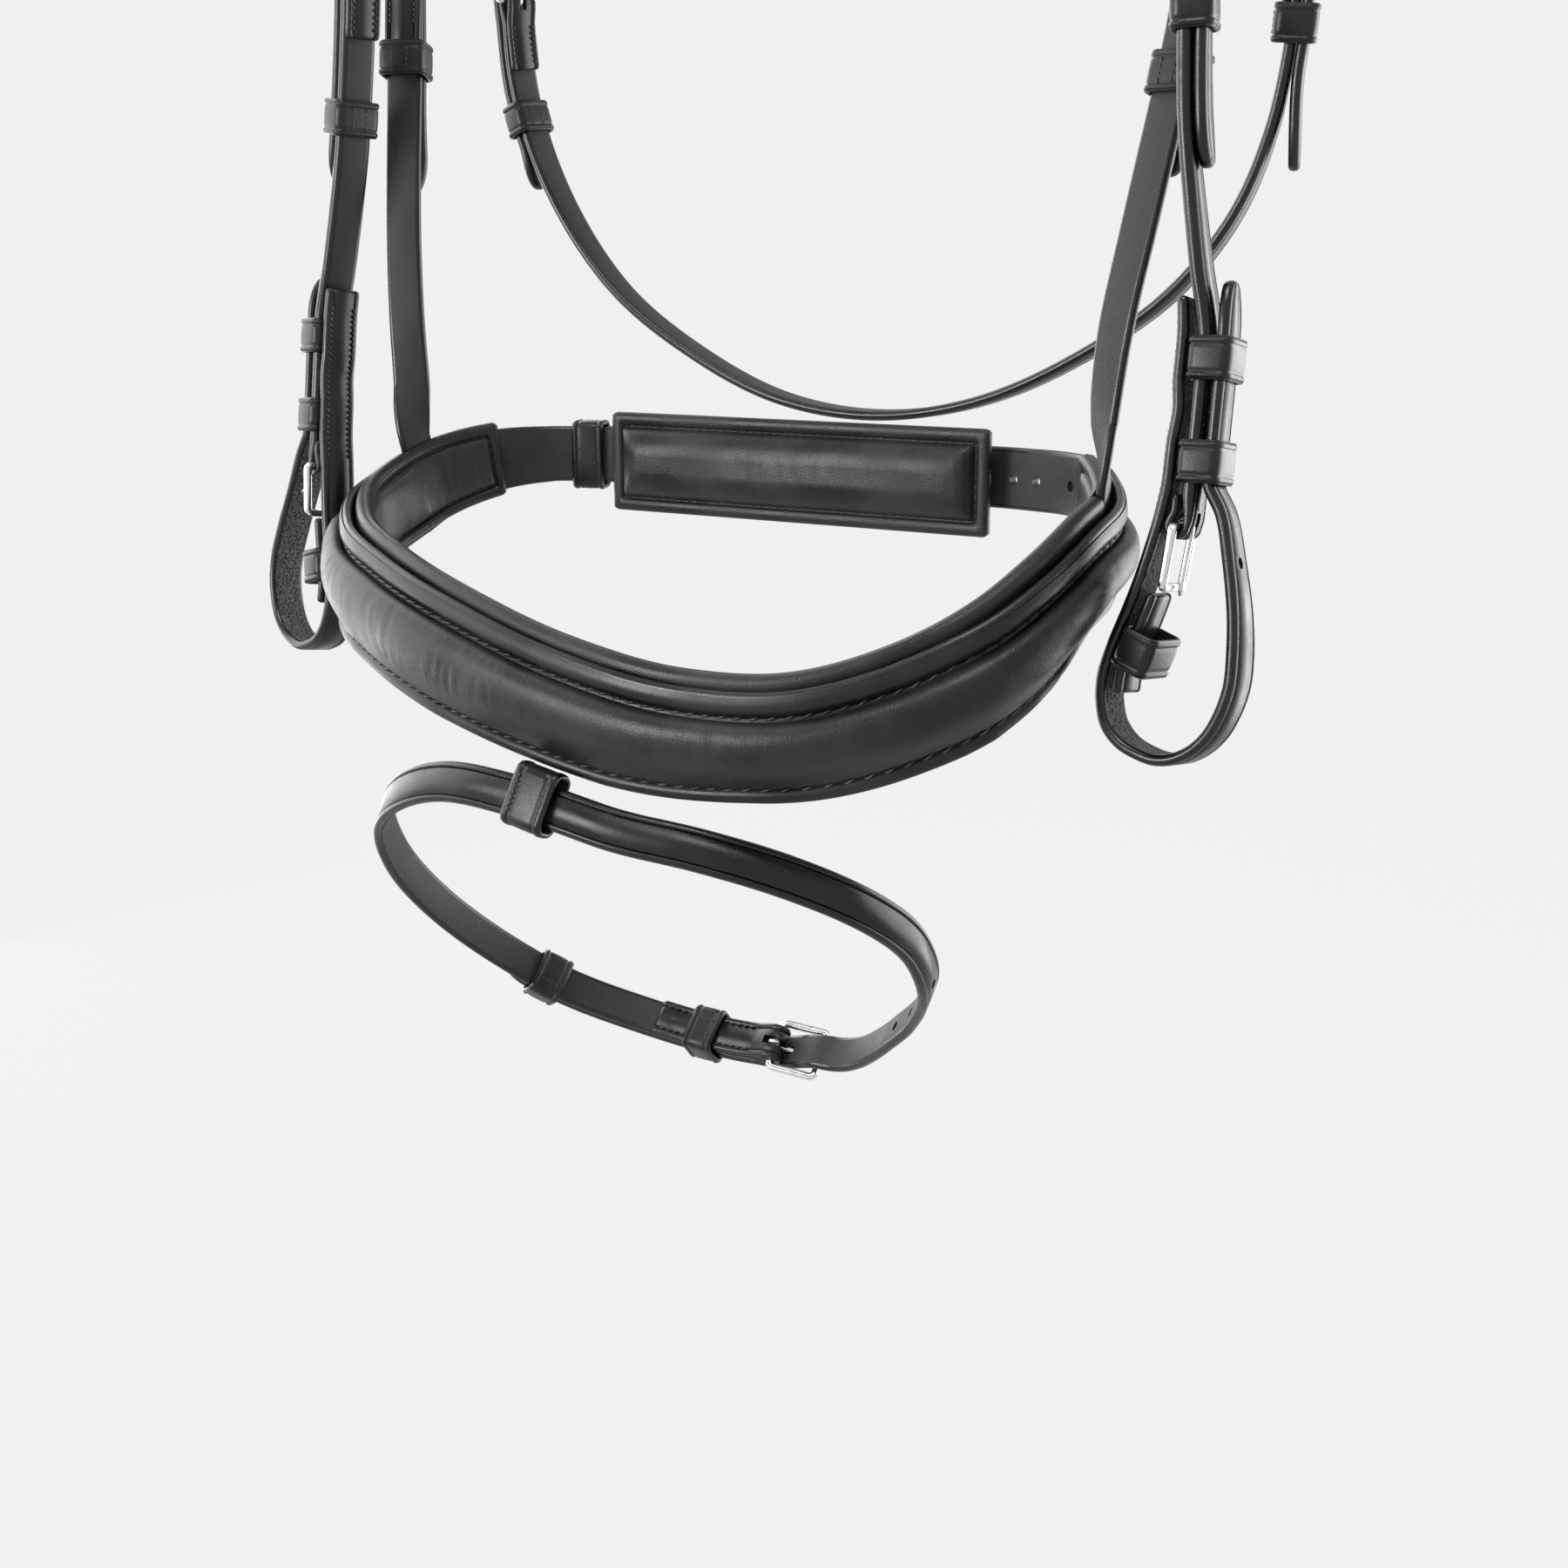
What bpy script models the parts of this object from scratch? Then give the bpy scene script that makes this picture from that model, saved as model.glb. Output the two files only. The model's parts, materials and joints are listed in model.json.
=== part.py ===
"""A snaffle bridle with a padded noseband and a flash strap, as worn but hanging empty.

The origin is on the padded crown's underside, where the bridle lies on the poll.
+X is the horse's left cheek, -Y points to the nose and +Z is up. Lengths are in metres.
Every strap is a loft of rounded sections along a smooth line. Each place on a line has a frame:
x runs across the strap, y points outward from the head and z runs along the strap.
"""

import bisect
import math

import bmesh
import bpy
from mathutils import Matrix, Vector

# Clearances and leather
GAP = 0.0003
OVERLAY_GAP = 0.0004
SOFT_GAP = 0.0005
RUNNING_GAP = 0.0006
STRAP_WIDTH = 0.013
STRAP_THICKNESS = 0.0036
CHEEK_THICKNESS = 0.0042
BIT_LOOP_THICKNESS = 0.0034
SKIVED_THICKNESS = 0.002
TIP_LENGTH = 0.013
TIP_FLAT_SHARE = 0.3
TIP_STATION_SHARES = (0.1, 0.35, 0.95)
CORNER_SHARE = 0.28
RETURN_LENGTH = 0.026
SHORT_RETURN_LENGTH = 0.009
FLASH_RETURN_LENGTH = 0.050
SKIVE_LENGTH = 0.009
HOLE_DIAMETER = 0.0034
HOLE_PITCH = 0.015

# Buckles: a bent wire frame and a tongue hooked round its heel bar
WIRE_RADIUS = 0.0013
TONGUE_RADIUS = 0.0009
BUCKLE_LENGTH = 0.017
BUCKLE_CORNER = 0.0018
BUCKLE_SIDE_GAP = 0.0008
BUCKLE_APPROACH = 0.007
OPEN_BUCKLE_LIFT = -0.0015
TONGUE_OVERHANG = 0.0022
HOOK_START_DEGREES = 320
HOOK_STEP_DEGREES = 40
TONGUE_HOLE_GAP = 0.0009
FOLD_STEP_DEGREES = 30
MIDWAY_RISE_SHARE = 0.55

# Keepers
KEEPER_HEIGHT = 0.012
KEEPER_WALL = 0.0014
KEEPER_CORNER = 0.002
BIT_LOOP_SLACK = 0.0015

# Head shape that the routes are shares of: half width, front to back, and poll to bit
FACE_HALF_WIDTH = 0.160
FACE_DEPTH = 0.100
FACE_DROP = 0.400

# Crown and the billets sewn under it
CROWN_WIDTH = 0.040
CROWN_PAD_THICKNESS = 0.009
CROWN_PAD_WIDTH = 0.046
CROWN_PAD_LENGTH = 0.150
CROWN_WIDTH_SHARES = ((0.56, 1.0), (0.66, 0.85), (0.76, 0.5), (0.84, 0.325))
SEWN_START = 0.084
SEWN_END = 0.116
NOSE_BILLET_SHIFT = -0.0035
THROAT_BILLET_SHIFT = 0.0115

# Where each side's upper keepers and tips lie below their heel bars, left side first
CHEEK_KEEPER_PLACES = {1: 0.034, -1: 0.052}
CHEEK_BILLET_END = 0.076
HANGER_KEEPER_PLACES = {1: 0.048, -1: 0.030}
HANGER_BILLET_END = 0.075
THROAT_KEEPER_PLACES = {1: 0.026, -1: 0.044}
THROAT_BILLET_END = 0.070
TAIL_SPRING = 0.004

# How the empty bridle hangs unevenly: each side's shift inward and its bit loop's swing outward
CHEEK_SHIFT = {1: 0.0, -1: 0.012}
CHEEK_SHIFT_SHARES = ((-0.712, 0.0), (-0.42, 1.0), (-0.30, 0.65), (-0.215, 0.0))
THROAT_SHIFT = {1: 0.0045, -1: -0.009}
THROAT_SAG = {1: 0.002, -1: 0.004}
THROAT_SAG_SHARES = ((-0.79, 0.6), (-0.73, 1.0), (-0.678, 1.0), (-0.62, 0.0))
THROAT_SHIFT_SHARES = ((-0.70, 0.0), (-0.50, 1.0), (-0.318, 0.8), (-0.25, 0.0))
END_SHIFT = {1: -0.0026, -1: 0.0}
CHEEK_TWIST_DEGREES = {1: 15, -1: 0}
CHEEK_TWIST_SHARES = ((-0.70, 1.0), (-0.575, 0.4), (-0.4125, 0.0))
LOOP_TWIST_DEGREES = {1: 10, -1: 0}
LOOP_SWING = {1: 0.0, -1: 0.006}
LOOP_INNER_SPREAD_SHARE = {1: 1.19, -1: 1.08}
LOOP_OUTER_SPREAD_SHARE = {1: 1.0, -1: 1.18}

# Bit loop and its keepers, measured down the cheek end
LOOP_HALF_WIDTH = 0.017
LOOP_DROP = 0.118
CHEEK_HEEL_DROP = 0.052
KEEPER_DROPS = (0.006, 0.034)
LOOP_HOLE_DROPS = (0.061, 0.034)
GUARD_START_DROP = 0.073
GUARD_LENGTH = 0.029
GUARD_THICKNESS = 0.003
GUARD_KEEPER_SHARE = 0.5
GUARD_KEEPER_HOLLOW = 0.0085
GUARD_BOW_GAP = 0.0005

# Noseband
NOSE_SIDE_ROOM = 0.023
NOSE_HALF_WIDTH = FACE_HALF_WIDTH - NOSE_SIDE_ROOM
NOSE_HALF_DEPTH = 0.070
NOSE_TOP_DROP = 0.320
NOSE_SAG = 0.058
NOSEBAND_HEIGHT = 0.0335
NOSEBAND_TAIL_HEIGHT = 0.021
NOSEBAND_THICKNESS = 0.0032
LAYER_GAP = 0.0012
LINING_THICKNESS = 0.0065
LINING_HEIGHT = 0.033
LINING_STEP = 0.0035
LINING_TIP_LENGTH = 0.012
ROLL_BULGE = 0.0062
ROLL_TOP_STEP = 0.008
ROLL_BOTTOM_STEP = 0.0035
ROLL_TAPER = 0.030
NOSEBAND_TAIL = 0.124
NOSEBAND_KEEPER_PLACES = (0.034, 0.110)
NOSEBAND_KEEPER_SLACK = 0.0009
NOSEBAND_HOLE_START = 0.040
NOSEBAND_HOLES = 4

# Hangers and their pockets in the lining
HANGER_THICKNESS = 0.0032
HANGER_DEPTH = 0.024
HANGER_POCKET_FLOOR = 0.0022
HANGER_INSET = 0.0007
POCKET_SIDE_GAP = 0.0007

# Chin pad
CHIN_PAD_LENGTH = 0.153
CHIN_PAD_HEIGHT = 0.036
CHIN_PAD_LOWERED = 0.001
CHIN_PAD_MIDDLE = -0.0035
CHIN_PAD_RIM_THICKNESS = 0.0038
CHIN_PAD_BULGE = 0.005
CHIN_PAD_GAP = 0.0056
CHIN_PAD_TAPER = 0.020
CHIN_LOOP_PLACE = 0.056
CHIN_LOOP_LENGTH = 0.010
CHIN_LOOP_WALL = 0.0016
CHIN_LOOP_SLACK = 0.0018

# Flash strap
FLASH_SIDE_ROOM = 0.043
FLASH_HALF_WIDTH = NOSE_HALF_WIDTH - FLASH_SIDE_ROOM
FLASH_DEPTH_ROOM = 0.014
FLASH_HALF_DEPTH = NOSE_HALF_DEPTH - FLASH_DEPTH_ROOM
FLASH_MIDDLE_DEPTH = 0.026
FLASH_TOP_DROP = 0.4190
FLASH_DROP = 0.118
FLASH_THICKNESS = 0.0034
FLASH_TAIL = 0.112
FLASH_KEEPER_PLACES = (0.030, 0.094)
FLASH_KEEPER_SLACK = 0.0007
FLASH_HOLE_START = 0.014
FLASH_HOLES = 4
FLASH_LOOP_LENGTH = 0.016
FLASH_LOOP_WALL = 0.0016
FLASH_LOOP_SLACK = 0.0009
FLASH_TAB_HALF_THICKNESS = 0.0015
FLASH_SWING_GAP = 0.0008

# Browband
BROWBAND_WIDTH = 0.016
BROWBAND_THICKNESS = 0.003

# How finely lines become straight runs
FINE_STEP = 0.001
GUIDE_STEP = 0.009
SAG_LIMIT = 0.00020
TWIST_LIMIT = 0.00030
LONGEST_RUN = 0.045
CUT_OVERRUN = 0.004
WELD_DISTANCE = 0.000001
SMOOTH_DEGREES = 40
CORNER_STEP_DEGREES = 45
PUNCH_SIDES = 8
PUNCH_REACH = 3
WIDTH_CHECK_SHARES = (0, 0.25, 0.5, 0.75)

# Routes as shares of the head's half width, depth and drop, then the across direction
CROWN_DEPTH_SHARE = 0.13
HEAD_ROUTE_SHARES = (
    (0.285, 0.13, 0.014, 0.0, 1.0),
    (0.550, 0.12, -0.044, 0.0, 1.0),
    (0.742, 0.09, -0.125, 0.0, 1.0),
    (0.838, 0.06, -0.212, -0.08, 1.0),
    (0.905, 0.05, -0.300, -0.22, 0.97),
)
CHEEK_ROUTE_SHARES = (
    (0.952, 0.062, -0.4125, -0.27, 0.96),
    (0.958, 0.062, -0.4925, -0.27, 0.96),
    (0.968, 0.062, -0.575, -0.27, 0.96),
    (0.983, 0.062, -0.625, -0.27, 0.96),
    (1.000, 0.061, -0.672, -0.27, 0.96),
)
CHEEK_END_SHARES = (1.017, 0.059, -0.712, -0.27, 0.96)
CHEEK_END_LEAN_SHARE = 0.14
NOSE_BILLET_ROUTE_SHARES = (
    (0.804, 0.24, -0.220, -0.20, 0.98),
    (0.862, 0.30, -0.300, -0.60, 0.80),
)
HANGER_ROUTE_SHARES = (
    (0.915, 0.355, -0.415, -0.87, 0.50),
    (0.902, 0.305, -0.500, -0.93, 0.36),
    (0.880, 0.235, -0.582, -0.95, 0.31),
    (0.862, 0.187, -0.640, -0.95, 0.31),
    (0.838, 0.140, -0.712, -0.93, 0.37),
    (0.828, 0.130, -0.765, -0.85, 0.52),
)
THROAT_BILLET_ROUTE_SHARES = (
    (0.806, 0.44, -0.220, -0.05, 1.0),
    (0.900, 0.82, -0.318, -0.15, 1.0),
)
THROAT_ROUTE_SHARES = (
    (0.960, 1.15, -0.415, -0.27, 0.96),
    (0.945, 1.18, -0.500, -0.27, 0.96),
    (0.915, 1.18, -0.555, -0.20, 0.97),
    (0.845, 1.18, -0.620, -0.15, 1.0),
    (0.715, 1.18, -0.678, -0.05, 1.0),
    (0.510, 1.18, -0.734, 0.0, 1.0),
    (0.250, 1.18, -0.780, 0.0, 1.0),
)
THROAT_BOTTOM_SHARES = (0.0, 1.18, -0.798, 0.0, 1.0)
BROWBAND_ROUTE_SHARES = (
    (0.782, -0.43, -0.222), (0.812, -0.340, -0.222), (0.806, -0.20, -0.221), (0.776, -0.08, -0.219),
    (0.760, 0.05, -0.218), (0.758, 0.26, -0.218), (0.764, 0.48, -0.218), (0.790, 0.575, -0.218),
    (0.845, 0.575, -0.218), (0.872, 0.48, -0.218), (0.876, 0.26, -0.218), (0.872, -0.03, -0.218),
    (0.835, -0.36, -0.222), (0.660, -0.70, -0.234), (0.350, -0.92, -0.246),
)
BROWBAND_FRONT_SHARES = (0.0, -0.985, -0.250)
BROWBAND_ACROSS_SHARES = (0.36, 0.0, -0.93)

# Bit loop, down the inner leg and up the outer one, as shares of its half width and drop
LOOP_INNER_SHARES = (
    (-0.38, 0.345), (-0.46, 0.425), (-0.56, 0.51), (-0.69, 0.605), (-0.81, 0.675),
    (-0.94, 0.745), (-1.035, 0.815), (-1.015, 0.875), (-0.90, 0.93), (-0.67, 0.968),
    (-0.38, 0.988), (-0.076, 0.997),
)
LOOP_OUTER_SHARES = (
    (0.20, 0.990), (0.50, 0.968), (0.80, 0.925), (1.00, 0.868), (1.12, 0.80), (1.12, 0.73),
    (1.03, 0.645), (0.80, 0.515), (0.56, 0.402),
)
LOOP_TOP_SHARES = (-0.42, -0.09)
LOOP_TIP_SHARES = (0.26, -0.13)

# Noseband's top edge, from behind the chin round the front and back, then its outward lean
NOSE_START_SHARES = (0.13, 0.940, -0.005, 0.0)
NOSE_RING_SHARES = (
    (-0.20, 0.940, -0.005, 0.0), (-0.56, 0.920, -0.005, 0.0), (-0.72, 0.815, -0.003, 0.01),
    (-0.843, 0.570, -0.015, 0.02), (-0.945, 0.180, -0.125, 0.02), (-0.952, -0.160, -0.290, 0.02),
    (-0.839, -0.457, -0.440, 0.06), (-0.613, -0.700, -0.580, 0.08), (-0.307, -0.886, -0.750, 0.07),
    (0.0, -0.993, -0.900, 0.0), (0.307, -1.021, -0.985, -0.11), (0.569, -0.979, -0.940, -0.19),
    (0.740, -0.871, -0.800, -0.20), (0.880, -0.714, -0.605, -0.20), (0.960, -0.457, -0.390, -0.20),
    (0.982, -0.160, -0.235, -0.17), (0.964, 0.180, -0.145, -0.08), (0.843, 0.570, -0.015, 0.0),
    (0.72, 0.815, -0.003, 0.0), (0.56, 0.925, -0.005, 0.0),
)
NOSEBAND_HEIGHT_SHARES = ((-0.40, 1.0), (0.17, 0.92), (0.55, 0.70), (0.86, 0.609))
LINING_HEIGHT_SHARES = ((-0.40, 1.0), (0.17, 0.92), (0.57, 0.82))
HANGER_DEPTH_SHARE = 0.17
LINING_END_DEPTH_SHARE = 0.57
ROLL_END_DEPTH_SHARE = 0.10

# Flash ring from its buckle round the right, the front and the left, as shares
FLASH_START_SHARES = (0.12, 0.985, -0.990)
FLASH_RING_SHARES = (
    (-0.10, 0.985, -1.0), (-0.46, 0.915, -0.970), (-0.74, 0.680, -0.880),
    (-0.93, 0.370, -0.735), (-1.03, -0.02, -0.545), (-1.01, -0.39, -0.355), (-0.91, -0.66, -0.190),
    (-0.74, -0.83, -0.090), (-0.46, -0.955, -0.014), (-0.20, -1.0, -0.010), (0.02, -1.0, -0.032),
    (0.24, -0.980, -0.062), (0.50, -0.875, -0.092), (0.75, -0.690, -0.150), (0.94, -0.400, -0.250),
    (1.01, -0.09, -0.370), (1.00, 0.16, -0.510), (0.87, 0.470, -0.670), (0.65, 0.750, -0.840),
)
FLASH_LOOP_AT_SHARE = -0.072
FLASH_FRONT_ACROSS_SHARES = (0.0, 0.35, 0.94)
FLASH_BACK_ACROSS_SHARES = (0.0, 0.72, 0.69)

# A cushion's outline, as shares of its half width and bulge, and how it fills near its ends
CUSHION_SHARES = (
    (-1.0, 0.0), (-0.97, 0.32), (-0.72, 0.82), (-0.32, 1.0),
    (0.32, 1.0), (0.72, 0.82), (0.97, 0.32), (1.0, 0.0),
)
CUSHION_END_SHARE = 0.22
RIMMED_PANEL_SHARE = 0.82
CUSHION_STATION_SHARES = (0.06, 0.2, 0.45, 1.0)

PARTS = bpy.data.collections.new("snaffle_bridle")
CUTTERS = bpy.data.collections.new("cutters")


class Line:
    """A smooth line through chosen points, with a frame at each place along it."""

    def __init__(self, points):
        self.frames = []
        self.places = []
        middles = [Vector(point) for point, across in points]
        acrosses = [Vector(across).normalized() for point, across in points]
        tangents = self.tangents(middles)
        samples = []
        for index in range(len(middles) - 1):
            span = (middles[index + 1] - middles[index]).length
            count = max(1, math.ceil(span / FINE_STEP))
            last = index == len(middles) - 2
            for step in range(count + (1 if last else 0)):
                share = step / count
                samples.append((
                    self.hermite(middles, tangents, index, span, share),
                    acrosses[index].lerp(acrosses[index + 1], share),
                ))
        place = 0
        for index, (middle, across) in enumerate(samples):
            before = samples[max(index - 1, 0)][0]
            after = samples[min(index + 1, len(samples) - 1)][0]
            if index:
                place += (middle - before).length
            self.places.append(place)
            self.frames.append(make_frame(middle, after - before, across))

    @staticmethod
    def tangents(middles):
        spans = [(b - a).length for a, b in zip(middles, middles[1:])]
        slopes = [(b - a) / span for a, b, span in zip(middles, middles[1:], spans)]
        inner = [
            (slopes[i] * spans[i + 1] + slopes[i + 1] * spans[i]) / (spans[i] + spans[i + 1])
            for i in range(len(slopes) - 1)
        ]
        return [slopes[0]] + inner + [slopes[-1]]

    @staticmethod
    def hermite(middles, tangents, index, span, share):
        square, cube = share ** 2, share ** 3
        start = middles[index] * (2 * cube - 3 * square + 1)
        end = middles[index + 1] * (3 * square - 2 * cube)
        leave = tangents[index] * span * (cube - 2 * square + share)
        arrive = tangents[index + 1] * span * (cube - square)
        return start + end + leave + arrive

    @property
    def length(self):
        return self.places[-1]

    def at(self, place):
        """The frame at a place, between the two nearest samples."""
        place = min(max(place, 0), self.length)
        after = min(max(bisect.bisect_left(self.places, place), 1), len(self.places) - 1)
        gap = self.places[after] - self.places[after - 1]
        share = (place - self.places[after - 1]) / gap
        near = self.frames[after] if share > 1 / 2 else self.frames[after - 1]
        frame = near.copy()
        frame.translation = self.frames[after - 1].translation.lerp(self.frames[after].translation, share)
        return frame

    def first(self, test):
        """The first place whose point passes the test."""
        return next(place for place, frame in zip(self.places, self.frames) if test(frame.translation))

    def last(self, test):
        """The last place whose point passes the test."""
        pairs = zip(reversed(self.places), reversed(self.frames))
        return next(place for place, frame in pairs if test(frame.translation))

    def guide(self, start, end, across=0, outward=0):
        """Evenly spaced points of a strap that lies along this line."""
        count = max(2, math.ceil((end - start) / GUIDE_STEP))
        frames = [self.at(start + (end - start) * index / count) for index in range(count + 1)]
        return [(moved(f, across=across, outward=outward).translation, f.col[0].xyz) for f in frames]

    def stations(self, start, end, width, extra=()):
        """The fewest places whose straight runs stay within the sag and twist limits."""
        kept = [start]
        first = bisect.bisect_right(self.places, start)
        last = bisect.bisect_left(self.places, end)
        anchor = self.at(start)
        for index in range(first, last):
            place, frame = self.places[index], self.frames[index]
            run = place - kept[-1]
            turn = anchor.col[2].xyz.angle(frame.col[2].xyz)
            twist = abs(frame.col[0].xyz.dot(anchor.col[1].xyz))
            if run * turn / 8 > SAG_LIMIT or width * twist / 4 > TWIST_LIMIT or run > LONGEST_RUN:
                kept.append(self.places[index - 1])
                anchor = self.frames[index - 1]
        if end - kept[-1] < FINE_STEP and len(kept) > 1:
            kept.pop()
        kept.append(end)
        for place in extra:
            near = min(kept, key=lambda other: abs(other - place))
            if start < place < end and abs(near - place) > FINE_STEP:
                kept.append(place)
        return sorted(kept)


def make_frame(middle, along, across):
    """A right-handed frame: across, outward and along as its columns."""
    along = along.normalized()
    across = (across - along * across.dot(along)).normalized()
    outward = along.cross(across)
    frame = Matrix((across, outward, along)).transposed().to_4x4()
    frame.translation = middle
    return frame


def moved(frame, across=0, outward=0, along=0):
    return frame @ Matrix.Translation((across, outward, along))


def turned(frame):
    """The same frame looking back along the strap, with outward kept."""
    return frame @ Matrix.Rotation(math.pi, 4, "Y")


def routed(shares, side):
    """One point of a head route and its across direction, on the given side."""
    x, y, z = shares[:3]
    point = Vector((side * x * FACE_HALF_WIDTH, y * FACE_DEPTH, z * FACE_DROP))
    return point, Vector((shares[3], side * shares[4], 0))


def shifted(points, side, shift, table):
    """The points moved towards the middle by a share of the shift that depends on height."""
    moves = [shift[side] * interpolated(table, point.z / FACE_DROP) for point, across in points]
    return [(p - Vector((side * move, 0, 0)), a) for (p, a), move in zip(points, moves)]


def twisted(points, side):
    """The cheek's points turned to the front by a share of its twist that depends on height."""
    made = []
    for point, across in points:
        turn = CHEEK_TWIST_DEGREES[side] * interpolated(CHEEK_TWIST_SHARES, point.z / FACE_DROP)
        made.append((point, Matrix.Rotation(math.radians(-turn), 3, "Z") @ across))
    return made


def sagged(points, side):
    """The throatlash's points lowered by a share of its side's sag that depends on height."""
    made = []
    for point, across in points:
        sag = THROAT_SAG[side] * interpolated(THROAT_SAG_SHARES, point.z / FACE_DROP)
        made.append((point - Vector((0, 0, sag)), across))
    return made


def turned_back(points):
    """The same points travelled the other way, with outward kept."""
    return [(point, -across) for point, across in reversed(points)]


def mirrored(points):
    """The points' mirror image, travelled the other way."""
    return [(Vector((-p.x, p.y, p.z)), Vector((-a.x, a.y, a.z))) for p, a in reversed(points)]


def in_frame(frame, places):
    """Points given as outward and along in a frame, with its across direction."""
    across = frame.col[0].xyz
    return [(frame @ Vector((0, outward, along)), across) for outward, along in places]


def material(name, color, roughness, metallic=0.0):
    made = bpy.data.materials.new(name)
    made.use_nodes = True
    shader = made.node_tree.nodes["Principled BSDF"]
    shader.inputs["Base Color"].default_value = (*color, 1.0)
    shader.inputs["Roughness"].default_value = roughness
    shader.inputs["Metallic"].default_value = metallic
    made.diffuse_color = (*color, 1.0)
    return made


def add_object(name, data, finish, collection=None):
    made = bpy.data.objects.new(name, data)
    (collection or PARTS).objects.link(made)
    if finish:
        data.materials.append(finish)
    return made


def loft(name, sections, finish):
    """One closed body through sections with equally many corners."""
    mesh = bpy.data.meshes.new(name)
    shape = bmesh.new()
    rings = [[shape.verts.new(corner) for corner in section] for section in sections]
    for ring, following in zip(rings, rings[1:]):
        for index in range(len(ring)):
            after = (index + 1) % len(ring)
            shape.faces.new((ring[index], ring[after], following[after], following[index]))
    shape.faces.new(rings[0][::-1])
    shape.faces.new(rings[-1])
    bmesh.ops.recalc_face_normals(shape, faces=shape.faces)
    shape.to_mesh(mesh)
    shape.free()
    mesh.shade_smooth()
    mesh.set_sharp_from_angle(angle=math.radians(SMOOTH_DEGREES))
    return add_object(name, mesh, finish)


def strap_section(frame, left, right, low, high):
    """Eight corners of a rounded strap section, as world points."""
    corner = min((high - low) * CORNER_SHARE, (right - left) / 3)
    outline = (
        (left, low + corner), (left + corner, low), (right - corner, low), (right, low + corner),
        (right, high - corner), (right - corner, high), (left + corner, high), (left, high - corner),
    )
    return [frame @ Vector((across, outward, 0)) for across, outward in outline]


def interpolated(table, place):
    """The value between the table's two nearest places, level past its ends."""
    if place <= table[0][0]:
        return table[0][1]
    for (start, low), (end, high) in zip(table, table[1:]):
        if place <= end:
            return low + (high - low) * (place - start) / (end - start)
    return table[-1][1]


def tip_share(distance, tip_length):
    """How much of its width a strap keeps this near its pointed end."""
    if distance >= tip_length:
        return 1
    bulge = math.sqrt(max(0, 1 - (1 - distance / tip_length) ** 2))
    return TIP_FLAT_SHARE + (1 - TIP_FLAT_SHARE) * bulge


def strap(name, line, width_at, thickness, finish, tips=(0, 0), skives=(), hung=False, span=None):
    """A strap along a line, pointed at either end and skived thinner where it folds.

    A hung strap lies below its line's edge, and any other strap is centred on its line.
    """
    start, end = span or (0, line.length)
    extra = [place for place, share in skives]
    extra += [start + tips[0] * share for share in TIP_STATION_SHARES if tips[0]]
    extra += [end - tips[1] * share for share in TIP_STATION_SHARES if tips[1]]
    sections = []
    widest = max(width_at(line.at(start + (end - start) * share).translation) for share in WIDTH_CHECK_SHARES)
    for place in line.stations(start, end, widest, extra):
        frame = line.at(place)
        width = width_at(frame.translation)
        half = width / 2 * min(tip_share(place - start, tips[0]), tip_share(end - place, tips[1]))
        middle = -width / 2 if hung else 0
        thick = thickness * (interpolated(skives, place) if skives else 1)
        sections.append(strap_section(frame, middle - half, middle + half, -thick / 2, thick / 2))
    return loft(name, sections, finish)


def plain_width(point):
    return STRAP_WIDTH


def cushion(name, line, start, end, edges_at, base, bulge, taper, finish, rim=0):
    """A stuffed panel along a line, rounded across and drawn in at both ends.

    A rim is the thickness of a flat border that keeps the panel's full width.
    """
    extra = [start + taper * share for share in CUSHION_STATION_SHARES]
    extra += [end - taper * share for share in CUSHION_STATION_SHARES]
    sections = []
    left, right = edges_at(line.at((start + end) / 2).translation)
    for place in line.stations(start, end, right - left, extra):
        frame = line.at(place)
        left, right = edges_at(frame.translation)
        near_end = min(place - start, end - place, taper) / taper
        fill = CUSHION_END_SHARE + (1 - CUSHION_END_SHARE) * math.sqrt(1 - (1 - near_end) ** 2)
        middle, half = (left + right) / 2, (right - left) / 2
        border = [(left, 0), (left, rim)] if rim else []
        narrowing = RIMMED_PANEL_SHARE if rim else (fill + 1) / 2
        panel = []
        for across, rise in CUSHION_SHARES:
            panel.append((middle + half * across * narrowing, rim + bulge * rise * fill))
        outline = border + panel + [(left + right - across, rise) for across, rise in reversed(border)]
        sections.append([frame @ Vector((across, base + rise, 0)) for across, rise in outline])
    return loft(name, sections, finish)


def fold_stack(thickness):
    """Where the strap and its folded return lie either side of the heel bar."""
    return (thickness + GAP) / 2, -(SKIVED_THICKNESS + GAP) / 2


def stack_low(thickness):
    """How far inward of the strap's middle its folded return reaches."""
    main, back = fold_stack(thickness)
    return back - SKIVED_THICKNESS / 2 - main


def fold_radius():
    return WIRE_RADIUS + GAP + SKIVED_THICKNESS / 2


def fold_points(heel, thickness):
    """Round the heel bar from the return to the strap, in the heel's frame."""
    radius = fold_radius()
    places = []
    for degrees in range(-90, 91, FOLD_STEP_DEGREES):
        angle = math.radians(degrees)
        places.append((radius * math.sin(angle), radius * math.cos(angle)))
    places.append((fold_stack(thickness)[0], -SKIVE_LENGTH))
    return in_frame(heel, places)


def return_depth(thickness):
    """How far inward of the strap's middle its folded return's middle lies."""
    main, back = fold_stack(thickness)
    return back - main


def fold_skives(thickness, return_length):
    """Skived thin from the return's end to the heel bar, then back to full thickness."""
    skived = SKIVED_THICKNESS / thickness
    fold_length = return_length + math.pi * fold_radius()
    return [(fold_length, skived), (fold_length + SKIVE_LENGTH, 1)]


def flipped_skives(skives, length):
    return [(length - place, share) for place, share in reversed(skives)]


def heel_frame(frame, thickness):
    """A buckle's frame at a strap's end: the heel bar is its x axis, the free bar lies at +z."""
    return moved(frame, outward=-fold_stack(thickness)[0])


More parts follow.
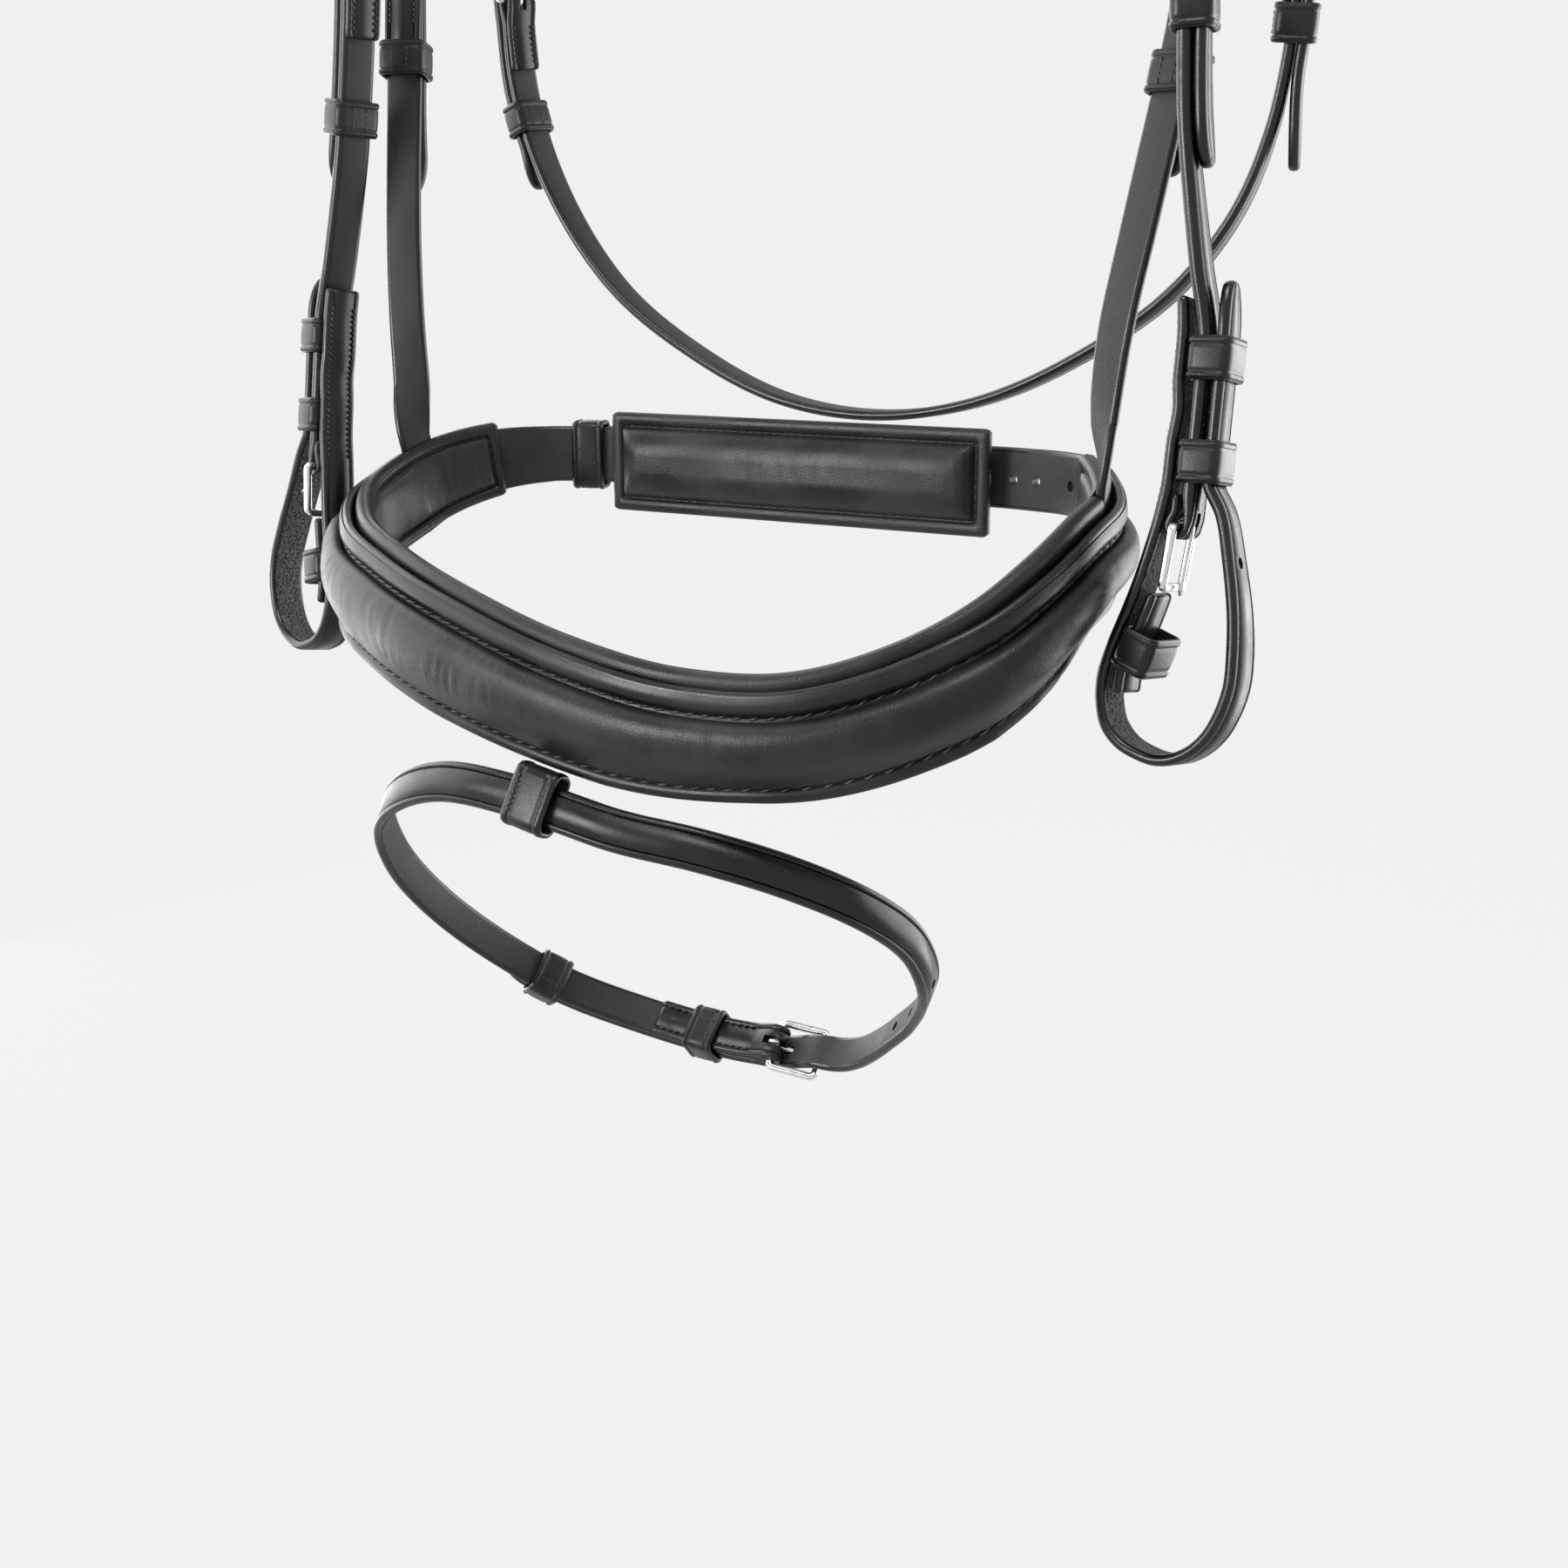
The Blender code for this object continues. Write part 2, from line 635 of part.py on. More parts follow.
def billet_rise():
    """How far outward a billet's middle lies where it crosses the heel bar's fold."""
    return fold_radius() + SKIVED_THICKNESS / 2 + OVERLAY_GAP + STRAP_THICKNESS / 2


def billet_lift():
    """How far outward the free bar stands, so that the billet passes under it."""
    return STRAP_THICKNESS / 2 + OVERLAY_GAP + WIRE_RADIUS


def overlay_offset(thickness, billet_thickness=STRAP_THICKNESS):
    """How far outward of a strap's middle the billet over it lies."""
    return thickness / 2 + OVERLAY_GAP + billet_thickness / 2


def billet_points(heel):
    """A billet's way under the free bar and over the heel, in the heel's frame."""
    rise = billet_rise()
    places = [
        (0, BUCKLE_LENGTH + BUCKLE_APPROACH), (0, BUCKLE_LENGTH),
        (rise * MIDWAY_RISE_SHARE, BUCKLE_LENGTH / 2), (rise, WIRE_RADIUS),
    ]
    return in_frame(turned(heel), [(outward, -along) for outward, along in places])


def wire(name, points, radius, finish, closed, resolution, collection=None):
    """A round wire through points, as a curve with filled ends."""
    data = bpy.data.curves.new(name, "CURVE")
    data.dimensions = "3D"
    data.bevel_depth = radius
    data.bevel_resolution = resolution
    data.use_fill_caps = True
    data.twist_mode = "MINIMUM"
    spline = data.splines.new("POLY")
    spline.points.add(len(points) - 1)
    for place, point in zip(spline.points, points):
        place.co = (*point, 1)
    spline.use_cyclic_u = closed
    return add_object(name, data, finish, collection)


def meshed(curve):
    """The curve as a hidden mesh with welded caps, for cutting."""
    bpy.context.view_layer.update()
    evaluated = curve.evaluated_get(bpy.context.evaluated_depsgraph_get())
    mesh = bpy.data.meshes.new_from_object(evaluated)
    shape = bmesh.new()
    shape.from_mesh(mesh)
    bmesh.ops.remove_doubles(shape, verts=shape.verts, dist=WELD_DISTANCE)
    bmesh.ops.recalc_face_normals(shape, faces=shape.faces)
    shape.to_mesh(mesh)
    shape.free()
    name, place = curve.name, curve.matrix_world.copy()
    bpy.data.objects.remove(curve)
    made = add_object(name, mesh, None, CUTTERS)
    made.matrix_world = place
    return made


def buckle_points(strap_width, lift):
    """The wire's closed path: heel bar at z = 0 and free bar at the buckle's length."""
    half = strap_width / 2 + BUCKLE_SIDE_GAP + WIRE_RADIUS
    corners = (
        (half - BUCKLE_CORNER, BUCKLE_CORNER, -90), (half - BUCKLE_CORNER, BUCKLE_LENGTH - BUCKLE_CORNER, 0),
        (BUCKLE_CORNER - half, BUCKLE_LENGTH - BUCKLE_CORNER, 90), (BUCKLE_CORNER - half, BUCKLE_CORNER, 180),
    )
    points = []
    for across, along, first in corners:
        for degrees in range(first, first + 91, CORNER_STEP_DEGREES):
            angle = math.radians(degrees)
            z = along + BUCKLE_CORNER * math.sin(angle)
            points.append(Vector((across + BUCKLE_CORNER * math.cos(angle), lift * z / BUCKLE_LENGTH, z)))
    return points


def tongue_hook():
    """The hook's radius: the tongue's middle line round the heel bar."""
    return WIRE_RADIUS + GAP + TONGUE_RADIUS


def tongue_shaft(lift):
    """The tongue's straight part, from over the heel bar to past the free bar."""
    hook = tongue_hook()
    rest = lift + hook
    tip = BUCKLE_LENGTH + TONGUE_OVERHANG
    return [Vector((0, hook, 0)), Vector((0, rest, BUCKLE_LENGTH - WIRE_RADIUS)), Vector((0, rest, tip))]


def tongue_points(lift):
    """The tongue's path: hooked round the heel bar, then out to rest on the free bar."""
    hook = tongue_hook()
    points = []
    for degrees in range(HOOK_START_DEGREES, 90, -HOOK_STEP_DEGREES):
        angle = math.radians(degrees)
        points.append(Vector((0, hook * math.sin(angle), hook * math.cos(angle))))
    return points + tongue_shaft(lift)


def add_buckle(name, heel, strap_width, lift):
    """The buckle's frame and its tongue. The tongue's origin is on the heel bar."""
    frame = wire(name + "_buckle", buckle_points(strap_width, lift), WIRE_RADIUS, STEEL, True, 2)
    frame.matrix_world = heel
    tongue = wire(name + "_tongue", tongue_points(lift), TONGUE_RADIUS, STEEL, False, 1)
    tongue.matrix_world = heel


def cutter_box(name, frame, size):
    """A hidden box for cutting, centred on the frame."""
    mesh = bpy.data.meshes.new(name)
    shape = bmesh.new()
    bmesh.ops.create_cube(shape, size=1)
    bmesh.ops.scale(shape, vec=size, verts=shape.verts)
    shape.to_mesh(mesh)
    shape.free()
    made = add_object(name, mesh, None, CUTTERS)
    made.matrix_world = frame
    return made


def cut(target, cutter, operation="DIFFERENCE"):
    modifier = target.modifiers.new(cutter.name, "BOOLEAN")
    modifier.operation = operation
    modifier.object = cutter
    modifier.solver = "EXACT"
    cutter.hide_render = True
    cutter.display_type = "WIRE"


def punch(target, number, frame, thickness):
    """A round hole through a strap, along the frame's outward direction."""
    name = f"{target.name}_hole_{number}"
    mesh = bpy.data.meshes.new(name)
    shape = bmesh.new()
    bmesh.ops.create_cone(shape, cap_ends=True, segments=PUNCH_SIDES, radius1=HOLE_DIAMETER / 2,
                          radius2=HOLE_DIAMETER / 2, depth=PUNCH_REACH * thickness,
                          matrix=Matrix.Rotation(math.pi / 2, 4, "X"))
    shape.to_mesh(mesh)
    shape.free()
    cutter = add_object(name, mesh, None, CUTTERS)
    cutter.matrix_world = frame
    cut(target, cutter)


def cut_tongue_slot(target, heel, name="slot"):
    """Opens the fold round the heel bar where the tongue hooks on."""
    reach = fold_radius() + SKIVED_THICKNESS
    back = tongue_hook() + TONGUE_RADIUS + RUNNING_GAP
    size = (2 * (TONGUE_RADIUS + RUNNING_GAP), 3 * reach, reach + back)
    cut(target, cutter_box(f"{target.name}_{name}", moved(heel, along=(reach - back) / 2), size))


def cut_tongue_hole(target, heel, name="tongue_hole"):
    """Opens the billet's hole to the slot that the slanting tongue needs."""
    points = tongue_shaft(billet_lift())
    hole = wire(f"{target.name}_{name}", points, TONGUE_RADIUS + TONGUE_HOLE_GAP, None, False, 1, CUTTERS)
    hole.matrix_world = heel
    cut(target, meshed(hole))


def outline_curve(name, outlines, depth, finish):
    """Flat closed outlines, filled between them and given a depth along z."""
    data = bpy.data.curves.new(name, "CURVE")
    data.dimensions = "2D"
    data.fill_mode = "BOTH"
    data.extrude = depth / 2
    for outline in outlines:
        spline = data.splines.new("POLY")
        spline.points.add(len(outline) - 1)
        for place, (x, y) in zip(spline.points, outline):
            place.co = (x, y, 0, 1)
        spline.use_cyclic_u = True
    return add_object(name, data, finish)


def rounded_outline(left, right, low, high, corner):
    """A rectangle with cut corners, anticlockwise from the left side's lower end."""
    return [
        (left, low + corner), (left + corner, low), (right - corner, low), (right, low + corner),
        (right, high - corner), (right - corner, high), (left + corner, high), (left, high - corner),
    ]


def keeper(name, frame, width, low, high, height=KEEPER_HEIGHT, wall=KEEPER_WALL, slack=GAP):
    """A leather band round the straps that lie between low and high of the frame."""
    half = width / 2 + SOFT_GAP
    low, high = low - slack, high + slack
    outer = rounded_outline(-half - wall, half + wall, low - wall, high + wall, KEEPER_CORNER)
    inner = rounded_outline(-half, half, low, high, KEEPER_CORNER / 2)
    made = outline_curve(name, (outer, inner), height, LEATHER)
    made.matrix_world = frame
    return made


def carry(name, place, nodes):
    """Hangs the named pieces on an empty at the place they move about."""
    empty = add_object(name, None, None)
    empty.matrix_world = Matrix.Translation(place)
    for node in nodes:
        piece = bpy.data.objects[node]
        piece.parent = empty
        piece.matrix_parent_inverse = Matrix.Translation(-place)


def side_name(side):
    return "left_" if side > 0 else "right_"


def folded_ends(axis, thickness, return_lengths, end_folds=True):
    """A strap line whose ends fold round heel bars, with its skives and heel frames."""
    upper = heel_frame(turned(axis.at(0)), thickness)
    back = return_depth(thickness)
    near = [min(SKIVE_LENGTH, length / 2) for length in return_lengths]
    points = axis.guide(near[0], return_lengths[0], outward=back)[::-1]
    points += [(p, -a) for p, a in fold_points(upper, thickness)]
    heels = [upper]
    skives = fold_skives(thickness, return_lengths[0])
    if not end_folds:
        line = Line(points + axis.guide(2 * SKIVE_LENGTH, axis.length))
        return line, skives, heels
    lower = heel_frame(axis.at(axis.length), thickness)
    points += axis.guide(2 * SKIVE_LENGTH, axis.length - 2 * SKIVE_LENGTH)
    points += reversed(fold_points(lower, thickness))
    points += axis.guide(axis.length - return_lengths[1], axis.length - near[1], outward=back)[::-1]
    line = Line(points)
    skives = skives + flipped_skives(fold_skives(thickness, return_lengths[1]), line.length)
    return line, skives, heels + [lower]


def reversed_line(line):
    """The same line travelled the other way, with outward kept."""
    return Line(turned_back(line.guide(0, line.length)))


def cheek_end_frame(side):
    """The bit end's frame at the top of the first keeper, looking down the cheek."""
    middle, across = shifted([routed(CHEEK_END_SHARES, side)], side, END_SHIFT, CHEEK_TWIST_SHARES)[0]
    frame = make_frame(middle, Vector((0, -CHEEK_END_LEAN_SHARE, -1)), across)
    return frame @ Matrix.Rotation(math.radians(CHEEK_TWIST_DEGREES[side]), 4, "Z")


def cheek_axis(side):
    """The cheekpiece's middle line from the upper heel bar to the lower one."""
    drops = (0, KEEPER_DROPS[0], KEEPER_DROPS[1], CHEEK_HEEL_DROP)
    end = in_frame(cheek_end_frame(side), [(0, drop) for drop in drops])
    route = [routed(shares, side) for shares in CHEEK_ROUTE_SHARES]
    route = shifted(route, side, CHEEK_SHIFT, CHEEK_SHIFT_SHARES)
    return Line(twisted(shifted(route, side, END_SHIFT, CHEEK_TWIST_SHARES), side) + end)


def add_cheek(side):
    """Cheekpiece, both its buckles and its upper keeper. Returns its axis and upper heel."""
    prefix = side_name(side)
    axis = cheek_axis(side)
    line, skives, heels = folded_ends(axis, CHEEK_THICKNESS, (RETURN_LENGTH, SHORT_RETURN_LENGTH))
    made = strap(prefix + "cheekpiece", line, plain_width, CHEEK_THICKNESS, LEATHER, skives=skives)
    cut_tongue_slot(made, heels[0], "upper_slot")
    cut_tongue_slot(made, heels[1], "lower_slot")
    add_buckle(prefix + "cheek_upper", heels[0], STRAP_WIDTH, billet_lift())
    add_buckle(prefix + "cheek_lower", heels[1], STRAP_WIDTH, OPEN_BUCKLE_LIFT)
    add_billet_keeper(prefix + "cheek_upper_keeper", axis, CHEEK_KEEPER_PLACES[side], CHEEK_THICKNESS)
    return axis, heels[0]


def add_billet_keeper(name, axis, place, thickness, over_return=False):
    """A sliding keeper round a strap and the billet over it."""
    low = stack_low(thickness) if over_return else -thickness / 2
    keeper(name, axis.at(place), STRAP_WIDTH, low, overlay_offset(thickness) + STRAP_THICKNESS / 2,
           slack=SOFT_GAP)


def add_bit_end(side):
    """Bit loop, guard and the three lower keepers at the cheekpiece's end."""
    prefix = side_name(side)
    end = cheek_end_frame(side)
    wall = KEEPER_WALL + 2 * GAP
    inner = -(CHEEK_THICKNESS / 2 + wall + BIT_LOOP_THICKNESS / 2 + GAP)
    outer = CHEEK_THICKNESS / 2 + BIT_LOOP_SLACK + BIT_LOOP_THICKNESS / 2
    pinched = inner + (wall - SOFT_GAP) / 2
    half_keeper = KEEPER_HEIGHT / 2
    upper, lower = KEEPER_DROPS
    points = in_frame(end, [
        (LOOP_TOP_SHARES[0] * LOOP_HALF_WIDTH, LOOP_TOP_SHARES[1] * LOOP_DROP),
        (inner, upper - half_keeper), (inner, upper), (inner, upper + half_keeper),
        (pinched, (upper + lower) / 2), (inner, lower - half_keeper),
    ])
    for n, d in LOOP_INNER_SHARES + LOOP_OUTER_SHARES:
        spread = LOOP_INNER_SPREAD_SHARE[side] if n < 0 else LOOP_OUTER_SPREAD_SHARE[side]
        free = max(0, (d * LOOP_DROP - CHEEK_HEEL_DROP) / (LOOP_DROP - CHEEK_HEEL_DROP))
        open_share = min(1, 2 * free)
        half_width = LOOP_HALF_WIDTH * (1 + (spread - 1) * open_share)
        twist = math.radians(LOOP_TWIST_DEGREES[side] * open_share)
        place = (n * half_width + LOOP_SWING[side] * free, d * LOOP_DROP)
        points += in_frame(end @ Matrix.Rotation(twist, 4, "Z"), [place])
    points += in_frame(end, [
        (outer, lower + half_keeper), (outer, lower - half_keeper), (outer, upper), (outer, 0),
        (LOOP_TIP_SHARES[0] * LOOP_HALF_WIDTH, LOOP_TIP_SHARES[1] * LOOP_DROP),
    ])
    line = Line(points)
    loop = strap(prefix + "bit_loop", line, plain_width, BIT_LOOP_THICKNESS, LEATHER, tips=(0, TIP_LENGTH))
    for number, drop in enumerate(LOOP_HOLE_DROPS, start=1):
        local = end.inverted()
        place = line.last(lambda point: (local @ point).z > drop)
        punch(loop, number, line.at(place), BIT_LOOP_THICKNESS)
    for number, drop in enumerate(KEEPER_DROPS, start=1):
        keeper(f"{prefix}cheek_keeper_{number}", moved(end, along=drop), STRAP_WIDTH,
               -CHEEK_THICKNESS / 2, outer + BIT_LOOP_THICKNESS / 2)
    add_guard(prefix, end, line)


def add_guard(prefix, end, line):
    """The guard under the open buckle and the empty keeper round it."""
    local = end.inverted()
    start = line.first(lambda point: (local @ point).z > GUARD_START_DROP)
    offset = BIT_LOOP_THICKNESS / 2 + KEEPER_WALL + GAP + GUARD_BOW_GAP + GUARD_THICKNESS / 2
    guard_line = Line(line.guide(start, start + GUARD_LENGTH, outward=offset))
    strap(prefix + "cheek_guard", guard_line, plain_width, GUARD_THICKNESS, LEATHER)
    middle = guard_line.at(guard_line.length * GUARD_KEEPER_SHARE)
    keeper(prefix + "cheek_keeper_3", middle, STRAP_WIDTH, -GUARD_THICKNESS / 2,
           GUARD_KEEPER_HOLLOW - GUARD_THICKNESS / 2)


def crown_width(point):
    return CROWN_WIDTH * interpolated(CROWN_WIDTH_SHARES, abs(point.x) / FACE_HALF_WIDTH)


def add_headpiece(axes, heels):
    """The crown with a cheek billet at either end. Returns its line."""
    halves = {}
    for side in (1, -1):
        half = [routed(shares, side) for shares in HEAD_ROUTE_SHARES]
        half = shifted(half, side, CHEEK_SHIFT, CHEEK_SHIFT_SHARES) + billet_points(heels[side])
        offset = overlay_offset(CHEEK_THICKNESS)
        halves[side] = half + axes[side].guide(SKIVE_LENGTH, CHEEK_BILLET_END, outward=offset)
    top = CROWN_PAD_THICKNESS + GAP + STRAP_THICKNESS / 2
    centre = (Vector((0, CROWN_DEPTH_SHARE * FACE_DEPTH, top)), Vector((0, 1, 0)))
    line = Line(turned_back(halves[-1]) + [centre] + halves[1])
    made = strap("headpiece", line, crown_width, STRAP_THICKNESS, LEATHER, tips=(TIP_LENGTH, TIP_LENGTH))
    for side in (1, -1):
        cut_tongue_hole(made, heels[side], side_name(side) + "tongue_hole")
    return line


def add_crown_pad(line):
    """The padded underside of the crown, drawn in along its edges."""
    middle = line.length / 2
    half_width = CROWN_PAD_WIDTH / 2
    cushion("crown_pad", line, middle - CROWN_PAD_LENGTH / 2, middle + CROWN_PAD_LENGTH / 2,
            lambda point: (-half_width, half_width), -(STRAP_THICKNESS / 2 + GAP), -CROWN_PAD_THICKNESS,
            CROWN_PAD_WIDTH / 2, PADDING)


def add_hung_billet(name, side, crown, shift, route, strap_axis, thickness, keeper_place, tail_length):
    """A billet sewn under the crown, buckled to the strap below it. Returns the heel frame.

    Past its keeper the billet's tail is straight and springs a little outward.
    """
    heel = heel_frame(turned(strap_axis.at(0)), thickness)
    middle = crown.length / 2
    under = -(STRAP_THICKNESS + OVERLAY_GAP)
    sewn = crown.guide(middle + side * SEWN_START, middle + side * SEWN_END, across=shift, outward=under)
    points = [(point, side * across) for point, across in sewn]
    points += route
    points += billet_points(heel)
    leave = keeper_place + KEEPER_HEIGHT
    offset = overlay_offset(thickness)
    points += strap_axis.guide(SKIVE_LENGTH, leave, outward=offset)
    tip = moved(strap_axis.at(leave), outward=offset + TAIL_SPRING, along=tail_length - leave)
    points.append((tip.translation, tip.col[0].xyz))
    made = strap(name, Line(points), plain_width, STRAP_THICKNESS, LEATHER, tips=(0, TIP_LENGTH))
    cut_tongue_hole(made, heel)
    return heel


def add_throatlash(crown):
    """The throatlash under the jaw, buckled to its two billets."""
    halves = []
    for side in (1, -1):
        half = [routed(shares, side) for shares in THROAT_ROUTE_SHARES]
        halves.append(sagged(shifted(half, side, THROAT_SHIFT, THROAT_SHIFT_SHARES), side))
    axis = Line(halves[0] + [routed(THROAT_BOTTOM_SHARES, 1)] + turned_back(halves[1]))
    line, skives, heels = folded_ends(axis, STRAP_THICKNESS, (RETURN_LENGTH, RETURN_LENGTH))
    made = strap("throatlash", line, plain_width, STRAP_THICKNESS, LEATHER, skives=skives)
    cut_tongue_slot(made, heels[0], "left_slot")
    cut_tongue_slot(made, heels[1], "right_slot")
    for side in (1, -1):
        prefix = side_name(side)
        down = axis if side > 0 else reversed_line(axis)
        route = [routed(shares, side) for shares in THROAT_BILLET_ROUTE_SHARES]
        route = shifted(route, side, THROAT_SHIFT, THROAT_SHIFT_SHARES)
        heel = add_hung_billet(prefix + "throatlash_billet", side, crown, THROAT_BILLET_SHIFT, route, down,
                               STRAP_THICKNESS, THROAT_KEEPER_PLACES[side], THROAT_BILLET_END)
        add_buckle(prefix + "throatlash", heel, STRAP_WIDTH, billet_lift())
        add_billet_keeper(prefix + "throatlash_keeper", down, THROAT_KEEPER_PLACES[side], STRAP_THICKNESS,
                          over_return=THROAT_KEEPER_PLACES[side] < RETURN_LENGTH + KEEPER_HEIGHT)


def nose_point(shares):
    """A point of the noseband's top edge, where the lining's middle lies, and its across."""
    x, y, sag, lean = shares
    outward = Vector((x, y, 0)).normalized()
    point = Vector((x * NOSE_HALF_WIDTH, y * NOSE_HALF_DEPTH, sag * NOSE_SAG - NOSE_TOP_DROP))
    return point, Vector((0, 0, 1)) - outward * lean


def noseband_offset():
    """How far outward of the lining's middle the outer strap's middle lies."""
    return LINING_THICKNESS / 2 + LAYER_GAP + NOSEBAND_THICKNESS / 2


def noseband_height(point):
    return NOSEBAND_HEIGHT * interpolated(NOSEBAND_HEIGHT_SHARES, point.y / NOSE_HALF_DEPTH)


def lining_height(point):
    return LINING_HEIGHT * interpolated(LINING_HEIGHT_SHARES, point.y / NOSE_HALF_DEPTH)


def add_ring_strap(name, ring, reference, edge, thickness, return_length, tail, width_at, hung):
    """A strap that runs round a ring, through its own buckle and over its own start.

    The reference gives how far across and outward of the ring's line the strap's line lies,
    and the edge is how far its line lies from the buckle's middle.
    """
    across, outward = reference
    heel = heel_frame(turned(moved(ring.at(0), across=across - edge, outward=outward)), thickness)
    edge_heel = moved(heel, across=-edge)
    over = outward + overlay_offset(thickness, thickness)
    back = outward + return_depth(thickness)
    points = ring.guide(SKIVE_LENGTH, return_length, across=across, outward=back)[::-1]
    points += [(p, -a) for p, a in fold_points(edge_heel, thickness)]
    points += ring.guide(2 * SKIVE_LENGTH, ring.length, across=across, outward=outward)
    points += billet_points(edge_heel)
    points += ring.guide(SKIVE_LENGTH, tail, across=across, outward=over)
    skives = fold_skives(thickness, return_length)
    made = strap(name, Line(points), width_at, thickness, LEATHER, tips=(0, TIP_LENGTH), skives=skives,
                 hung=hung)
    cut_tongue_slot(made, heel)
    cut_tongue_hole(made, heel)
    return made, heel


def add_noseband():
    """Outer strap, buckle and keepers, lining with two pockets, and the padded roll."""
    ring = Line([nose_point(NOSE_START_SHARES)] + [nose_point(shares) for shares in NOSE_RING_SHARES])
    offset = noseband_offset()
    edge = NOSEBAND_TAIL_HEIGHT / 2
    made, heel = add_ring_strap("noseband_strap", ring, (-LINING_STEP, offset), edge, NOSEBAND_THICKNESS,
                                RETURN_LENGTH, NOSEBAND_TAIL, noseband_height, True)
    add_buckle("noseband", heel, NOSEBAND_TAIL_HEIGHT, billet_lift())
    for number in range(NOSEBAND_HOLES):
        place = ring.length - NOSEBAND_HOLE_START + number * HOLE_PITCH
        frame = moved(ring.at(place), across=-LINING_STEP - edge, outward=offset)
        punch(made, number + 1, frame, NOSEBAND_THICKNESS)
    names = ("noseband_fixed_keeper", "noseband_sliding_keeper")
    for name, place in zip(names, NOSEBAND_KEEPER_PLACES):
        frame = moved(ring.at(place), across=-LINING_STEP - edge, outward=offset)
        low = -NOSEBAND_THICKNESS / 2
        if place < RETURN_LENGTH + KEEPER_HEIGHT:
            low = stack_low(NOSEBAND_THICKNESS)
        high = overlay_offset(NOSEBAND_THICKNESS, NOSEBAND_THICKNESS) + NOSEBAND_THICKNESS / 2
        keeper(name, frame, NOSEBAND_TAIL_HEIGHT, low, high, slack=NOSEBAND_KEEPER_SLACK)
    add_lining(ring)
    add_roll(ring)
    return ring


def add_lining(ring):
    """The lining with a pocket on either side that its hanger is sewn into."""
    end_depth = LINING_END_DEPTH_SHARE * NOSE_HALF_DEPTH
    span = (ring.first(lambda point: point.y < end_depth), ring.last(lambda point: point.y < end_depth))
    lining = strap("noseband_lining", ring, lining_height, LINING_THICKNESS, PADDING,
                   tips=(LINING_TIP_LENGTH, LINING_TIP_LENGTH), hung=True, span=span)
    floor = HANGER_POCKET_FLOOR - LINING_THICKNESS / 2
    width = STRAP_WIDTH + 2 * POCKET_SIDE_GAP
    depth = LINING_THICKNESS / 2 - floor + CUT_OVERRUN
    height = HANGER_DEPTH + GAP + CUT_OVERRUN
    for side in (1, -1):
        frame = moved(ring.at(hanger_place(ring, side)), outward=floor + depth / 2,
                      across=CUT_OVERRUN - height / 2)
        cut(lining, cutter_box(side_name(side) + "hanger_pocket", frame, (height, depth, width)))


def hanger_place(ring, side):
    """Where the ring's front part passes the hangers' depth on the given side."""
    depth = HANGER_DEPTH_SHARE * NOSE_HALF_DEPTH
    find = ring.last if side > 0 else ring.first
    return find(lambda point: point.y < depth)


def add_roll(ring):
    """The stuffed roll between the noseband's two rows of stitching."""
    end_depth = ROLL_END_DEPTH_SHARE * NOSE_HALF_DEPTH
    base = noseband_offset() + NOSEBAND_THICKNESS / 2 + LAYER_GAP

    def edges(point):
        return ROLL_BOTTOM_STEP - LINING_STEP - noseband_height(point), -ROLL_TOP_STEP - LINING_STEP

    cushion("noseband_roll", ring, ring.first(lambda point: point.y < end_depth),
            ring.last(lambda point: point.y < end_depth), edges, base, ROLL_BULGE, ROLL_TAPER, PADDING)


def add_hanger(side, ring, crown):
    """Noseband hanger with its buckle and keeper, and the billet that carries it."""
    prefix = side_name(side)
    band = ring.at(hanger_place(ring, side))
    pocket = moved(band, outward=LINING_THICKNESS / 2 - HANGER_INSET - HANGER_THICKNESS / 2)
    ends = [
        (moved(pocket, across=across).translation, band.col[2].xyz)
        for across in (SKIVE_LENGTH / 3, -HANGER_DEPTH / 2, -HANGER_DEPTH)
    ]
    axis = Line([routed(shares, side) for shares in HANGER_ROUTE_SHARES] + ends)
    line, skives, heels = folded_ends(axis, HANGER_THICKNESS, (RETURN_LENGTH, 0), end_folds=False)
    made = strap(prefix + "noseband_hanger", line, plain_width, HANGER_THICKNESS, LEATHER, skives=skives)
    cut_tongue_slot(made, heels[0])
    route = [routed(shares, side) for shares in NOSE_BILLET_ROUTE_SHARES]
    heel = add_hung_billet(prefix + "noseband_billet", side, crown, NOSE_BILLET_SHIFT, route, axis,
                           HANGER_THICKNESS, HANGER_KEEPER_PLACES[side], HANGER_BILLET_END)
    add_buckle(prefix + "hanger", heel, STRAP_WIDTH, billet_lift())
    add_billet_keeper(prefix + "hanger_keeper", axis, HANGER_KEEPER_PLACES[side], HANGER_THICKNESS,
                      over_return=HANGER_KEEPER_PLACES[side] < RETURN_LENGTH + KEEPER_HEIGHT)


